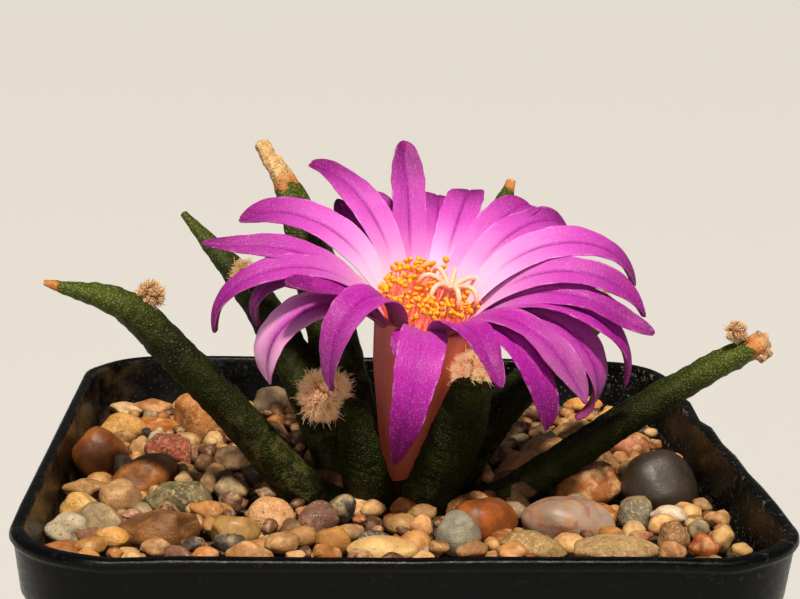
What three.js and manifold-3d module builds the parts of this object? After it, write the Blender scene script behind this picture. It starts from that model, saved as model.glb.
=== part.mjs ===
// A finger-leaved living rock cactus in flower, in a small square pot with a pebble top dressing.
// Millimetres, +Z up, origin in the middle of the pot's underside, the plant's front towards -Y.
import * as THREE from 'three';
import { mergeVertices } from 'three/addons/utils/BufferGeometryUtils.js';
import Module from 'manifold-3d';

const wasm = await Module();
wasm.setup();

// Driving dimensions
const GAP = 0.3; // clearance kept between neighbouring pieces
const RIM_HALF = 35;
const RIM_HEIGHT = 65;
const BASE_HALF = 25;
const WALL = 0.9;
const FLOOR = 1.5;
const BAND_BOTTOM = 58.2; // where the rim band steps out from the tapered wall
const BAND_STEP = 0.9; // height and depth of the step under the band
const BAND_INSET = 0.8; // the band's foot lies this far in from the rim
const LEDGE = BAND_BOTTOM + BAND_STEP; // inside, the same step makes a ledge
const LIP_HEIGHT = 1.1; // rounded bead along the top edge
const BEAD = 0.35; // how far the bead stands out
const FOOT_BEVEL = 0.8;
const CORNER_RIM = 9.5;
const CORNER_BASE = 6;
const CORNER_STEPS = 4;
const DRAIN_RADIUS = 2.6;
const DRAIN_PLACE = 15;
const DRESSING_BOTTOM = 52;

// The pebbles' middles lie on a plane that falls gently towards the back.
const LEVEL = 60.2;
const LEVEL_SLOPE = -0.025;
const SLAB_DEPTH = 1.75; // the packed part of the layer ends this far below the pebbles' middles
const PEBBLE_PITCH = 6.8;
const PEBBLE_REACH = 30; // the grid of small pebbles ends this far from the middle
const PEBBLE_LIMIT = 32.4; // no small pebble's side lies further out than this
const PEBBLE_LENGTH = { least: 2.8, spread: 0.9 }; // half length
const PEBBLE_WIDTH = { least: 0.65, spread: 0.25 }; // share of the half length
const PEBBLE_DEPTH = { least: 0.5, spread: 0.25 };
const PEBBLE_SHAKE = 0.4; // share of the pitch by which a pebble is moved
const PEBBLE_STAGGER = 0.25; // share of the pitch by which rows are moved against each other
const PEBBLE_SINK = 0.9; // below the plane, and how much the heights differ
const PEBBLE_TILT = 50;
const PEBBLE_LUMP = 0.05;
const PEBBLE_NESTLE = 0.55; // two pebbles' middles lie at least this share of their half lengths apart
const STONE_SEED = 100;
const PEBBLE_SEED = 11;

// Root and crown outline: radius and height
const ROOT_PROFILE = [
  [0, 18], [1.4, 18.6], [3.4, 27], [5.6, 39], [7.2, 50], [8.4, 54.5], [7.8, 57.6], [5, 59.8], [0, 60.6],
];
const ROOT_SIDES = 14;
const CROWN_CENTRE = [0.8, 0.2];
const CROWN_REACH = 7; // no small pebble's middle is nearer to the crown's

// Flower: where its tube leaves the crown, the middle of its throat, and radii up the tube
const TUBE_FOOT = new THREE.Vector3(0.2, 1.5, 59);
const THROAT = new THREE.Vector3(2.8, -4.6, 79.3);
const TUBE_RADII = [[-21.4, 0.9], [-17, 1.9], [-13.2, 2.9], [-6.5, 4.4], [-1.5, 5]];
const TUBE_TOP = TUBE_RADII[TUBE_RADII.length - 1][0];
const TUBE_WALL = 0.7;
const CHAMBER_FLOOR = -14.2; // floor of the hollow inside the tube
const FLOWER_SIDES = 16;
const COLLAR_INNER = 4.1; // ring that carries the petals
const COLLAR_OUTER = 5.15;
const COLLAR_TOP = 0.1;
const PETAL_RADIUS = 4.3; // where the petals' middles start, out from the throat's axis
const PETAL_START = -1;
const PETAL_THICKNESS = 0.6;
const PETAL_CHANNEL = 0.16; // depth of the fold along a petal, over its half width
const PETAL_STATIONS = [0, 0.2, 0.42, 0.62, 0.8, 0.93, 1]; // shares of the length with a section
const PETAL_TIP_BEND = 0.72; // share from which the tip bends further
const PETAL_BEND = 1.15; // how the bending of most petals is spread
const PETAL_TWIST_FULL = 0.4; // share by which the twist is complete
const PETAL_BASE_WIDTH = 0.56; // over the full width
const PETAL_FINE_STEPS = 100; // steps in which the arch is added up
const STAMEN_COUNT = 33;
const STAMEN_RING = { radius: 3.25, height: -4.4 };
const STAMEN_SPREAD = { inner: 1.3, width: 3 }; // radii over which the anthers stand
const STAMEN_HEIGHT = { middle: 3.2, towardsBack: 1.3, uneven: 0.4, knee: -0.5 };
const STAMEN_CLEAR = 1.5; // from the style
const STIGMA_CLEAR = 0.85; // beyond the stigma's reach, for anthers that stand as high as it
const STIGMA_SHADE = 1.35; // height of the anthers that stand under the stigma
const FILAMENT_RADII = [0.22, 0.18, 0.16];
const ANTHER = [0.42, 0.42, 0.7];
const STYLE_FOOT_RADIUS = 0.7;
const STYLE_RADIUS = 0.45;
const STIGMA = { radius: 1.9, azimuth: 30, height: 3.5, lobes: 7, reach: 2.6 };
const LOBE_RADII = [0.4, 0.42, 0.3];
const LOBE_ARCH = { foot: -0.3, bendAt: 0.55, bend: 0.7, tip: 0.5 }; // heights over the stigma's middle
const GOLDEN_ANGLE = 2.39996;

// Petals: azimuth from the right, length, angle at the base, angle at the tip, further bend of the tip,
// width, share at which it is widest, bluntness of the tip, sideways sweep, twist, and for some how the
// bending is spread: under 1 most of it lies near the base
const PETALS = [
  [10, 24.6, 82, -58, 10, 3.8, 0.5, 8, -0.02, 22], [44, 20.7, 70, -38, 12, 4, 0.55, 12, -0.07, 12],
  [74, 18.2, 63, -23, 0, 4, 0.6, 24, 0.02, -4], [104, 17.1, 55, 40, 3, 3.7, 0.6, 18, -0.03, 0],
  [126, 19.1, 68, -9, 3, 3.9, 0.6, 16, 0.1, -8], [156, 20.5, 66, -41, 0, 4.3, 0.6, 14, 0.04, -18],
  [183, 21, 54, -27, -22, 3.2, 0.5, 6, 0.02, -20], [186, 19.5, 64, -92, 31, 3.1, 0.55, 8, -0.02, -12],
  [198, 18.4, 45, -118, -1, 4.6, 0.65, 20, 0.04, -8, 1.24],
  [223, 20.2, 72, -124, -14, 4.1, 0.45, 5, 0.16, 0, 1.39],
  [262, 22.2, 83, -131, 29, 4.9, 0.3, 3.6, -0.02, 0, 0.68],
  [284, 14.4, 72, -58, -5, 3.9, 0.5, 7, 0.12, 0, 1.12], [308, 19.3, 85, -89, 14, 3.8, 0.5, 6, 0.1, 5, 0.75],
  [338, 22.8, 66, -104, 30, 4.3, 0.55, 8, -0.08, 10, 1.03],
  [346, 21.2, 66, -52, -35, 3.9, 0.5, 6, -0.04, 16], [356, 22.3, 73, -48, 8, 3.7, 0.5, 7, -0.06, 20],
  [55, 19.2, 66, -17, 40, 4.2, 0.55, 10, -0.07, 8], [84, 17, 50, -18, 1, 4, 0.6, 18, 0.02, 0],
  [112, 13.9, 39, 9, -5, 3.9, 0.6, 14, -0.07, 0], [131, 12.8, 46, 7, -30, 3.4, 0.6, 12, -0.04, 0],
  [191, 23.7, 60, -72, 29, 3.2, 0.5, 7, 0.06, -12], [209, 14.5, 52, -3, -15, 3.9, 0.6, 10, -0.02, 0],
  [253, 9, 60, -70, 0, 4, 0.6, 8, 0.05, 0], [317, 19.2, 80, -70, -13, 3.9, 0.55, 7, 0.08, 6, 0.83],
  [340, 23.4, 65, -79, 17, 3.5, 0.5, 6, 0.01, 8],
];

// Tubercles: points of the middle line, half thickness along it, half width over half thickness,
// and how deep a furrow runs along the upper face
const TUBERCLES = {
  left: {
    line: [[-3, -2.2, 56.5], [-8.6, -4, 60.2], [-16, -5.7, 69.1], [-21.8, -6.8, 75.6], [-26.7, -7.7, 80.5],
      [-34, -9, 82.9]],
    half: [2.7, 2.4, 1.85, 1.7, 1.3, 0.45],
    spread: 1.35,
    furrow: 0.1,
  },
  rearLeft: {
    line: [[-3.5, 2.5, 57], [-8.5, 6, 68], [-14.5, 9, 77.8], [-22.3, 12, 86.3]],
    half: [2.6, 2.1, 1.7, 0.4],
    spread: 1.4,
    furrow: 0.1,
  },
  rear: {
    line: [[-1.5, 4.5, 56], [-4.8, 8.5, 67.5], [-8.2, 11.5, 81], [-11, 13.5, 88.6], [-14.1, 15, 93.6]],
    half: [2.6, 2.4, 2.1, 1.4, 0.85],
    spread: 1.35,
    furrow: 0.15,
  },
  rearRight: {
    line: [[2.6, 4.2, 56], [6, 8, 70], [9.8, 12, 81], [13.3, 15, 90]],
    half: [2.6, 2.2, 1.6, 0.45],
    spread: 1.4,
    furrow: 0.1,
  },
  farRight: {
    line: [[4, 2.4, 56], [12, 6, 66.5], [24.2, 11, 77]],
    half: [2.5, 1.9, 1.1],
    spread: 1.35,
    furrow: 0.1,
  },
  right: {
    line: [[4, -0.8, 55.5], [8.2, -1.5, 57.5], [13.5, -2, 60.6], [23.7, -3, 68.2], [31.3, -4, 73.5],
      [36.6, -4.6, 76.6]],
    half: [2.4, 2.1, 1.9, 1.7, 1.45, 1.25],
    spread: 1.3,
    furrow: 0.35,
  },
  frontRight: {
    line: [[1.6, -2.6, 56], [4, -5.4, 61.7], [5.9, -8.2, 67.9], [7, -10, 73.2]],
    half: [2.3, 2.2, 2, 1.3],
    spread: 1.3,
    furrow: 0.1,
  },
  frontLeft: {
    line: [[-1.4, -2.4, 56], [-3, -5.8, 62.4], [-4.6, -8, 70.6]],
    half: [2.2, 2, 1.3],
    spread: 1.3,
    furrow: 0.1,
  },
};
const TUBERCLE_SIDES = 9;
const TUBERCLE_STEPS = 8;
const UPPER_FACE = 0.75; // the upper face is flatter than the keeled lower one

// Ragged lumps at the broken end of the right tubercle: centre and radius
const BROKEN_END = [[37.1, -4.2, 76.8, 1.1], [36.9, -5.4, 75.9, 0.95]];

// Wool tufts: centre, radius, number of locks, and a flattening of the height
const WOOL = {
  wool_left: { at: [-24.9, -7.1, 81.9], radius: 1.45, locks: 14, flat: 1 },
  wool_rear_left: { at: [-15.6, 8, 80.4], radius: 1.7, locks: 14, flat: 1 },
  wool_front_left: { at: [-7.2, -6.3, 71.3], radius: 2.7, locks: 28, flat: 1 },
  wool_front_right: { at: [7.15, -8.6, 74.2], radius: 1.95, locks: 18, flat: 1.15 },
  wool_right: { at: [34.3, -4.2, 77.7], radius: 1.15, locks: 12, flat: 1.15 },
  wool_far_right: { at: [23.2, 10.2, 78], radius: 0.95, locks: 10, flat: 1 },
};
const WOOL_CORE = 0.84; // share of the tuft's radius that its core takes
const LOCK = { least: 0.75, spread: 0.3, width: 0.34, foot: 0.3 }; // also shares of that radius

// Larger pebbles: centre, half sizes, turn about Z, tilt of the long axis, depth of the lumps, colour
const STONES = {
  stone_brown_left: [-30.3, 6.6, 60.8, 2.8, 2.8, 2.6, 0, 0, 0.05, 0x7a5238],
  stone_tan_wedge_back: [-20.1, 23.1, 60.4, 3.8, 2.4, 3, 10, 20, 0.09, 0xa57f5c],
  stone_tan_back_left: [-29.9, 19.4, 59.9, 2.7, 2.2, 1.8, 30, 0, 0.06, 0xb98d5e],
  stone_maroon: [-23.4, 9.6, 60.4, 2.6, 1.8, 1.7, 0, 25, 0.12, 0x8a5148],
  stone_brown_glossy: [-25, 1.6, 60.2, 3.2, 2.2, 1.8, 15, -12, 0.06, 0x7d5737],
  stone_grey_green: [-21.4, -5.9, 60.4, 3.1, 2.1, 1.6, 5, 0, 0.08, 0x73725f],
  stone_brown_grey_wedge: [-22.4, -16.1, 60.4, 4.2, 2.6, 2, -5, -14, 0.08, 0x7e6447],
  stone_pale_angular: [-31.1, -15.9, 60.5, 1.8, 1.7, 1.4, 20, 0, 0.12, 0xb4b2a2],
  stone_cream_left: [-30.8, -9.6, 60.5, 2, 1.7, 1.5, 0, 0, 0.06, 0xc9a878],
  stone_speckled: [-27.1, -6.8, 60.6, 2, 1.8, 1.7, 0, 15, 0.05, 0xb89b83],
  stone_yellow_square: [-15.7, -16.4, 60.5, 2.2, 1.6, 1.6, 0, -8, 0.1, 0xb3a074],
  stone_pink_cream: [-12.4, -12.1, 60.7, 2.4, 1.9, 2, 0, 20, 0.04, 0xc79f84],
  stone_purple_brown: [-7.9, -13, 60.4, 2, 1.6, 1.7, 0, 0, 0.06, 0x7f5f56],
  stone_ochre_long: [-6.6, -19.1, 60.7, 1.9, 1.4, 1.4, 20, 30, 0.06, 0xb48a5b],
  stone_cream_long: [-1.2, -21.2, 60.5, 3.2, 1.8, 1.2, 5, 0, 0.04, 0xc9aa7b],
  stone_slate_small: [-2.5, -16.7, 60, 1.9, 1.2, 0.9, 10, 10, 0.08, 0x43444a],
  stone_cream_mid: [-16.4, 9, 60, 2.4, 2, 1.3, 20, 0, 0.06, 0xb6a588],
  stone_blue_grey: [5.2, -18.2, 61, 2.3, 1.8, 2.1, 40, 30, 0.03, 0x87898a],
  stone_lilac_veined: [16.6, -12.6, 60.5, 4.7, 3, 2.4, 0, 10, 0.04, 0xa8958c],
  stone_grey_big: [27.9, -2, 60.8, 3.9, 3.1, 3.2, 0, 20, 0.05, 0x6a655f],
  stone_orange_brown: [8.5, -12.3, 60.2, 3.1, 2.2, 2.2, 8, 8, 0.06, 0x96582f],
  stone_brown_mid: [22.3, 5.8, 60, 2.8, 2.2, 2, 0, 10, 0.05, 0x8c6039],
  stone_grey_small: [23.6, -10.6, 60.3, 1.7, 1.4, 1.6, 0, -30, 0.06, 0x7d7a70],
  stone_brown_right: [25.7, -18.2, 60.8, 1.5, 1.4, 1.8, 0, 20, 0.06, 0x99704b],
  stone_tan_wedge_front: [12.2, -19.6, 60.6, 3, 1.9, 1.3, 0, 12, 0.08, 0x9f8157],
  stone_tan_long_front: [19.2, -21.6, 60.6, 3.7, 2, 1.2, 0, 4, 0.05, 0xa98c62],
};

// Colours
const BLACK_PLASTIC = 0x17181a;
const COMPOST = 0x3a2c20;
const PEBBLES = 0xb39468;
const PLANT_GREEN = 0x4a5230;
const WOOL_CREAM = 0xcbb898;
const TUBE_PINK = 0xc77d6a;
const MAGENTA = 0xc04fb2;
const ANTHER_YELLOW = 0xf0b02c;
const STIGMA_CREAM = 0xf2d8c8;

const UP = new THREE.Vector3(0, 0, 1);
const AXIS = THROAT.clone().sub(TUBE_FOOT).normalize();
const RIGHTWARD = new THREE.Vector3(1, 0, 0).addScaledVector(AXIS, -AXIS.x).normalize();
const BACKWARD = new THREE.Vector3().crossVectors(AXIS, RIGHTWARD);
const radians = THREE.MathUtils.degToRad;

const model = new THREE.Group();

// Repeatable numbers from 0 to 1
function seeded(seed) {
  let state = seed >>> 0;
  return () => {
    state = (state + 0x6d2b79f5) >>> 0;
    let mixed = Math.imul(state ^ (state >>> 15), state | 1);
    mixed ^= mixed + Math.imul(mixed ^ (mixed >>> 7), mixed | 61);
    return ((mixed ^ (mixed >>> 14)) >>> 0) / 2 ** 32;
  };
}

// Six times the signed volume between one triangle and the origin
function signedVolume(position, index, start) {
  const [a, b, c] = [0, 1, 2].map((k) => new THREE.Vector3().fromBufferAttribute(position, index[start + k]));
  return a.dot(b.cross(c));
}

// Indexed geometry with its faces pointing out
function outward(points, index) {
  const geometry = new THREE.BufferGeometry().setFromPoints(points);
  let volume = 0;
  const turned = [];
  for (let i = 0; i < index.length; i += 3) {
    volume += signedVolume(geometry.attributes.position, index, i);
    turned.push(index[i], index[i + 2], index[i + 1]);
  }
  geometry.setIndex(volume < 0 ? turned : index);
  return geometry;
}

// Closed surface through rings of equal point counts, with a fan to the middle of each end ring
function loft(rings) {
  const count = rings[0].length;
  const points = rings.flat();
  const index = [];
  for (let i = 0; i + 1 < rings.length; i++) {
    for (let j = 0; j < count; j++) {
      const here = i * count + j;
      const next = i * count + (j + 1) % count;
      index.push(here, next, next + count, here, next + count, here + count);
    }
  }
  [0, rings.length - 1].forEach((end) => {
    const middle = new THREE.Vector3();
    rings[end].forEach((point) => middle.add(point));
    points.push(middle.divideScalar(count));
    for (let j = 0; j < count; j++) {
      const here = end * count + j;
      const next = end * count + (j + 1) % count;
      index.push(points.length - 1, end === 0 ? next : here, end === 0 ? here : next);
    }
  });
  return outward(points, index);
}

function withoutNormals(geometry) {
  geometry.deleteAttribute('normal');
  geometry.deleteAttribute('uv');
  return geometry;
}

function toSolid(geometry) {
  const merged = mergeVertices(withoutNormals(geometry.clone()), 1e-4);
  return new wasm.Manifold(new wasm.Mesh({
    numProp: 3,
    vertProperties: new Float32Array(merged.attributes.position.array),
    triVerts: new Uint32Array(merged.index.array),
  }));
}

// Surface of a solid without loose scraps and sealed hollows: only its largest connected shell stays
function toGeometry(solid) {
  const mesh = solid.getMesh();
  const position = new THREE.BufferAttribute(mesh.vertProperties, 3);
  const owner = Array.from({ length: position.count }, (unused, i) => i);
  const find = (i) => {
    let root = i;
    while (owner[root] !== root) {
      owner[root] = owner[owner[root]];
      root = owner[root];
    }
    return root;
  };
  for (let i = 0; i < mesh.triVerts.length; i += 3) {
    owner[find(mesh.triVerts[i + 1])] = find(mesh.triVerts[i]);
    owner[find(mesh.triVerts[i + 2])] = find(mesh.triVerts[i]);
  }
  const shells = new Map();
  for (let i = 0; i < mesh.triVerts.length; i += 3) {
    const key = find(mesh.triVerts[i]);
    const shell = shells.get(key) ?? { volume: 0, index: [] };
    shell.volume += signedVolume(position, mesh.triVerts, i);
    shell.index.push(mesh.triVerts[i], mesh.triVerts[i + 1], mesh.triVerts[i + 2]);
    shells.set(key, shell);
  }
  const main = [...shells.values()].reduce((best, shell) => (shell.volume > best.volume ? shell : best));
  const geometry = new THREE.BufferGeometry();
  geometry.setAttribute('position', position);
  geometry.setIndex(main.index);
  return mergeVertices(geometry.toNonIndexed(), 1e-5);
}

function fuse(geometries) {
  return geometries.map(toSolid).reduce((sum, solid) => sum.add(solid));
}

function place(name, geometry, color, roughness) {
  const material = new THREE.MeshStandardMaterial({ color, roughness, metalness: 0 });
  const mesh = new THREE.Mesh(geometry, material);
  mesh.name = name;
  model.add(mesh);
}

// Square ring with round corners at a height; the corner radius grows with the half width
function squareRing(half, z) {
  const corner = THREE.MathUtils.mapLinear(half, BASE_HALF, RIM_HALF, CORNER_BASE, CORNER_RIM);
  const ring = [];
  [[1, 1], [-1, 1], [-1, -1], [1, -1]].forEach(([sx, sy], quarter) => {
    for (let step = 0; step <= CORNER_STEPS; step++) {
      const angle = (quarter + step / CORNER_STEPS) * Math.PI / 2;
      const x = sx * (half - corner) + corner * Math.cos(angle);
      const y = sy * (half - corner) + corner * Math.sin(angle);
      ring.push(new THREE.Vector3(x, y, z));
    }
  });
  return ring;
}

// Outer half width of the tapered wall below the rim band
function wallHalf(z) {
  return THREE.MathUtils.lerp(BASE_HALF, RIM_HALF - BAND_INSET - BAND_STEP, z / BAND_BOTTOM);
}

// The wall's inside from low to high, shrunk by an inset: tapered wall, ledge, then the rim band
function insideRings(inset, low, high) {
  const shrink = WALL + inset;
  const rings = [squareRing(wallHalf(low) - shrink, low)];
  if (high > LEDGE) {
    rings.push(squareRing(wallHalf(BAND_BOTTOM) - shrink, BAND_BOTTOM));
    rings.push(squareRing(wallHalf(BAND_BOTTOM) + BAND_STEP - shrink, LEDGE));
    rings.push(squareRing(RIM_HALF - BEAD - shrink, high));
  } else {
    rings.push(squareRing(wallHalf(high) - shrink, high));
  }
  return rings;
}

function buildPot() {
  const lipBottom = RIM_HEIGHT - LIP_HEIGHT;
  const outside = [
    squareRing(BASE_HALF - FOOT_BEVEL, 0),
    squareRing(wallHalf(FOOT_BEVEL), FOOT_BEVEL),
    squareRing(wallHalf(BAND_BOTTOM), BAND_BOTTOM),
    squareRing(RIM_HALF - BAND_INSET, BAND_BOTTOM + BAND_STEP),
    squareRing(RIM_HALF - BEAD, lipBottom),
    squareRing(RIM_HALF, lipBottom + BEAD),
    squareRing(RIM_HALF - BEAD / 2, RIM_HEIGHT),
  ];
  const body = loft([...outside, ...insideRings(0, FLOOR, RIM_HEIGHT).reverse()]);
  let solid = toSolid(body);
  [[1, 1], [-1, 1], [-1, -1], [1, -1]].forEach(([sx, sy]) => {
    const hole = new THREE.CylinderGeometry(DRAIN_RADIUS, DRAIN_RADIUS, 4 * FLOOR, 10);
    hole.rotateX(Math.PI / 2).translate(sx * DRAIN_PLACE, sy * DRAIN_PLACE, 0);
    solid = solid.subtract(toSolid(hole));
  });
  place('pot', toGeometry(solid), BLACK_PLASTIC, 0.35);
}

// Root and crown turned about the plant's own axis, swollen by a clearance
function rootAndCrown(swell) {
  const [bottom, ...rest] = ROOT_PROFILE;
  const top = rest.pop();
  const outline = [
    new THREE.Vector2(0, bottom[1] - swell),
    ...rest.map(([radius, z]) => new THREE.Vector2(radius + swell, z)),
    new THREE.Vector2(0, top[1] + swell),
  ];
  const geometry = new THREE.LatheGeometry(outline, ROOT_SIDES);
  return geometry.rotateX(Math.PI / 2).translate(...CROWN_CENTRE, 0);
}

// Finger along a smooth line: a section that is flat above, keeled below and furrowed along the top
function tubercle({ line, half, spread, furrow }, swell) {
  const curve = new THREE.CatmullRomCurve3(line.map((p) => new THREE.Vector3(...p)), false, 'catmullrom');
  const sizes = new THREE.CatmullRomCurve3(half.map((h) => new THREE.Vector3(h, 0, 0)), false, 'catmullrom');
  const rings = [];
  for (let i = 0; i <= TUBERCLE_STEPS; i++) {
    const t = i / TUBERCLE_STEPS;
    const tangent = curve.getTangent(t);
    const side = new THREE.Vector3().crossVectors(UP, tangent).normalize();
    const upper = new THREE.Vector3().crossVectors(tangent, side);
    const centre = curve.getPoint(t).addScaledVector(tangent, i === TUBERCLE_STEPS ? swell : 0);
    const height = sizes.getPoint(t).x * 2 / (1 + UPPER_FACE) + swell;
    const width = sizes.getPoint(t).x * spread + swell;
    rings.push(Array.from({ length: TUBERCLE_SIDES }, (unused, j) => {
      const angle = j / TUBERCLE_SIDES * 2 * Math.PI;
      const onTop = Math.sin(angle) > 0;
      const rise = Math.sin(angle) * (onTop ? UPPER_FACE : 1) + (1 - UPPER_FACE) / 2;
      const dip = onTop ? furrow * Math.sin(angle) ** 8 : 0;
      const point = centre.clone().addScaledVector(side, width * Math.cos(angle));
      return point.addScaledVector(upper, height * (rise - dip));
    }));
  }
  return loft(rings);
}

// Root, crown, tubercles and the ragged end of the right one, all swollen by a clearance
function plantParts(swell) {
  const lumps = BROKEN_END.map(([x, y, z, radius], i) => (
    new THREE.IcosahedronGeometry(radius + swell, 0).rotateZ(i).translate(x, y, z)
  ));
  return [rootAndCrown(swell), ...Object.values(TUBERCLES).map((shape) => tubercle(shape, swell)), ...lumps];
}

// Outline of radii and heights turned about the flower's axis
function turnedOnFlowerAxis(outline) {
  const geometry = new THREE.LatheGeometry(outline.map(([r, h]) => new THREE.Vector2(r, h)), FLOWER_SIDES);
  const basis = new THREE.Matrix4().makeBasis(RIGHTWARD, AXIS, BACKWARD.clone().negate());
  return geometry.applyMatrix4(basis).translate(THROAT.x, THROAT.y, THROAT.z);
}

// Room that the plant leaves for the foot of the flower's tube
function tubeSocket() {
  const side = TUBE_RADII.map(([h, r]) => [r + GAP, h]);
  const [foot, footRadius] = TUBE_RADII[0];
  return turnedOnFlowerAxis([[0, foot - GAP], [footRadius + GAP, foot - GAP], ...side, [0, TUBE_TOP]]);
}

// Pebble: an ellipsoid with low seeded lumps, tilted, then turned
function pebble([x, y, z, a, b, c, turn, tilt, lump], seed, detail, swell) {
  const random = seeded(seed);
  const [first, second, third] = [random(), random(), random()].map((value) => value * 2 * Math.PI);
  const geometry = mergeVertices(withoutNormals(new THREE.IcosahedronGeometry(1, detail)));
  const position = geometry.attributes.position;
  const point = new THREE.Vector3();
  for (let i = 0; i < position.count; i++) {
    point.fromBufferAttribute(position, i).normalize();
    const wave = Math.sin(3.1 * point.x + first) * Math.sin(2.7 * point.y + second);
    const ripple = Math.sin(4.3 * point.z + 3.7 * point.x + third);
    const radius = 1 + lump * (wave + 0.6 * ripple);
    point.multiply(new THREE.Vector3(a * radius + swell, b * radius + swell, c * radius + swell));
    position.setXYZ(i, point.x, point.y, point.z);
  }
  return geometry.rotateY(radians(tilt)).rotateZ(radians(turn)).translate(x, y, z);
}

// Small pebbles of the top dressing on a shaken grid, left out where a larger pebble or the crown is
function dressingPebbles() {
  const random = seeded(PEBBLE_SEED);
  const reach = Math.floor(PEBBLE_REACH / PEBBLE_PITCH);
  const pebbles = [];
  for (let row = -reach; row <= reach; row++) {
    for (let column = -reach; column <= reach; column++) {
      const a = PEBBLE_LENGTH.least + PEBBLE_LENGTH.spread * random();
      const b = a * (PEBBLE_WIDTH.least + PEBBLE_WIDTH.spread * random());
      const c = a * (PEBBLE_DEPTH.least + PEBBLE_DEPTH.spread * random());
      const limit = PEBBLE_LIMIT - a;
      const shaken = (cell) => {
        const offset = (cell + PEBBLE_SHAKE * (random() - 0.5)) * PEBBLE_PITCH;
        return THREE.MathUtils.clamp(offset, -limit, limit);
      };
      const x = shaken(column + (row % 2 ? PEBBLE_STAGGER : -PEBBLE_STAGGER));
      const y = shaken(row);
      const z = LEVEL + LEVEL_SLOPE * y - PEBBLE_SINK + PEBBLE_SINK * (random() - 0.5);
      const turn = 360 * random();
      const tilt = PEBBLE_TILT * (random() - 0.5);
      const stones = Object.values(STONES);
      const tooNear = ([sx, sy, , size]) => Math.hypot(sx - x, sy - y) < PEBBLE_NESTLE * (size + a);
      const underPlant = Math.hypot(CROWN_CENTRE[0] - x, CROWN_CENTRE[1] - y) < CROWN_REACH;
      if (!stones.some(tooNear) && !underPlant) {
        pebbles.push([x, y, z, a, b, c, turn, tilt, PEBBLE_LUMP]);
      }
    }
  }
  return pebbles;
}

function buildDressing(plantClearance) {
  const slabTop = LEVEL - SLAB_DEPTH;
  const slab = loft([
    squareRing(wallHalf(DRESSING_BOTTOM) - WALL - GAP, DRESSING_BOTTOM + GAP),
    squareRing(wallHalf(BAND_BOTTOM) - WALL - GAP, slabTop).map((p) => p.setZ(slabTop + LEVEL_SLOPE * p.y)),
  ]);
  const small = dressingPebbles().map((row, i) => pebble(row, i + 1, 0, 0));
  let bed = fuse([slab, ...small]).intersect(toSolid(loft(insideRings(GAP, DRESSING_BOTTOM, RIM_HEIGHT))));
  Object.entries(STONES).forEach(([name, row], i) => {
    bed = bed.subtract(toSolid(pebble(row, STONE_SEED + i, 1, GAP)));
    place(name, pebble(row, STONE_SEED + i, 1, 0), row[row.length - 1], 0.5);
  });
  place('gravel_bed', toGeometry(bed.subtract(plantClearance)), PEBBLES, 0.7);
}

function buildSoil() {
  const body = toSolid(loft(insideRings(GAP, FLOOR + GAP, DRESSING_BOTTOM)));
  place('soil', toGeometry(body.subtract(toSolid(rootAndCrown(GAP)))), COMPOST, 0.95);
}

function buildPlant() {
  const plant = fuse(plantParts(0)).subtract(toSolid(tubeSocket()));
  place('cactus_body', toGeometry(plant), PLANT_GREEN, 0.6);
}

// Tuft of wool: pointed locks standing out all round from a smaller core
function woolTuft({ at, radius, locks, flat }, seed) {
  const random = seeded(seed);
  const core = WOOL_CORE * radius;
  const parts = [withoutNormals(new THREE.IcosahedronGeometry(core, 1)).scale(1, 1, flat)];
  for (let i = 0; i < locks; i++) {
    const z = 1 - 2 * (i + 0.5) / locks;
    const around = i * GOLDEN_ANGLE;
    const ring = Math.sqrt(1 - z * z);
    const direction = new THREE.Vector3(ring * Math.cos(around), ring * Math.sin(around), z * flat);
    const length = radius * (LOCK.least + LOCK.spread * random());
    const lock = new THREE.ConeGeometry(LOCK.width * radius, length, 3);
    lock.translate(0, length / 2 + LOCK.foot * radius, 0);
    const turn = new THREE.Quaternion().setFromUnitVectors(new THREE.Vector3(0, 1, 0), direction.normalize());
    parts.push(lock.applyQuaternion(turn));
  }
  return fuse(parts.map((piece) => piece.translate(...at)));
}

function buildWool(plantClearance) {
  Object.entries(WOOL).forEach(([name, tuft], i) => {
    place(name, toGeometry(woolTuft(tuft, i + 1).subtract(plantClearance)), WOOL_CREAM, 0.95);
  });
}

// Half width of a petal at a share of its length: narrow at the base, widest at its own share, then less
function petalHalfWidth(s, width, widest, blunt) {
  const swell = PETAL_BASE_WIDTH + (1 - PETAL_BASE_WIDTH) * Math.sin(Math.PI / 2 * Math.min(s / widest, 1));
  const taper = 1 - 0.25 * Math.max((s - widest) / (1 - widest), 0) ** 2;
  return Math.max(width / 2 * swell * taper * (1 - s ** blunt) ** 0.55, PETAL_THICKNESS / 2);
}

// Smooth change from 0 to 1 as a value goes from low to high
function smoothStep(value, low, high) {
  const t = Math.min(Math.max((value - low) / (high - low), 0), 1);
  return t * t * (3 - 2 * t);
}

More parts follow.
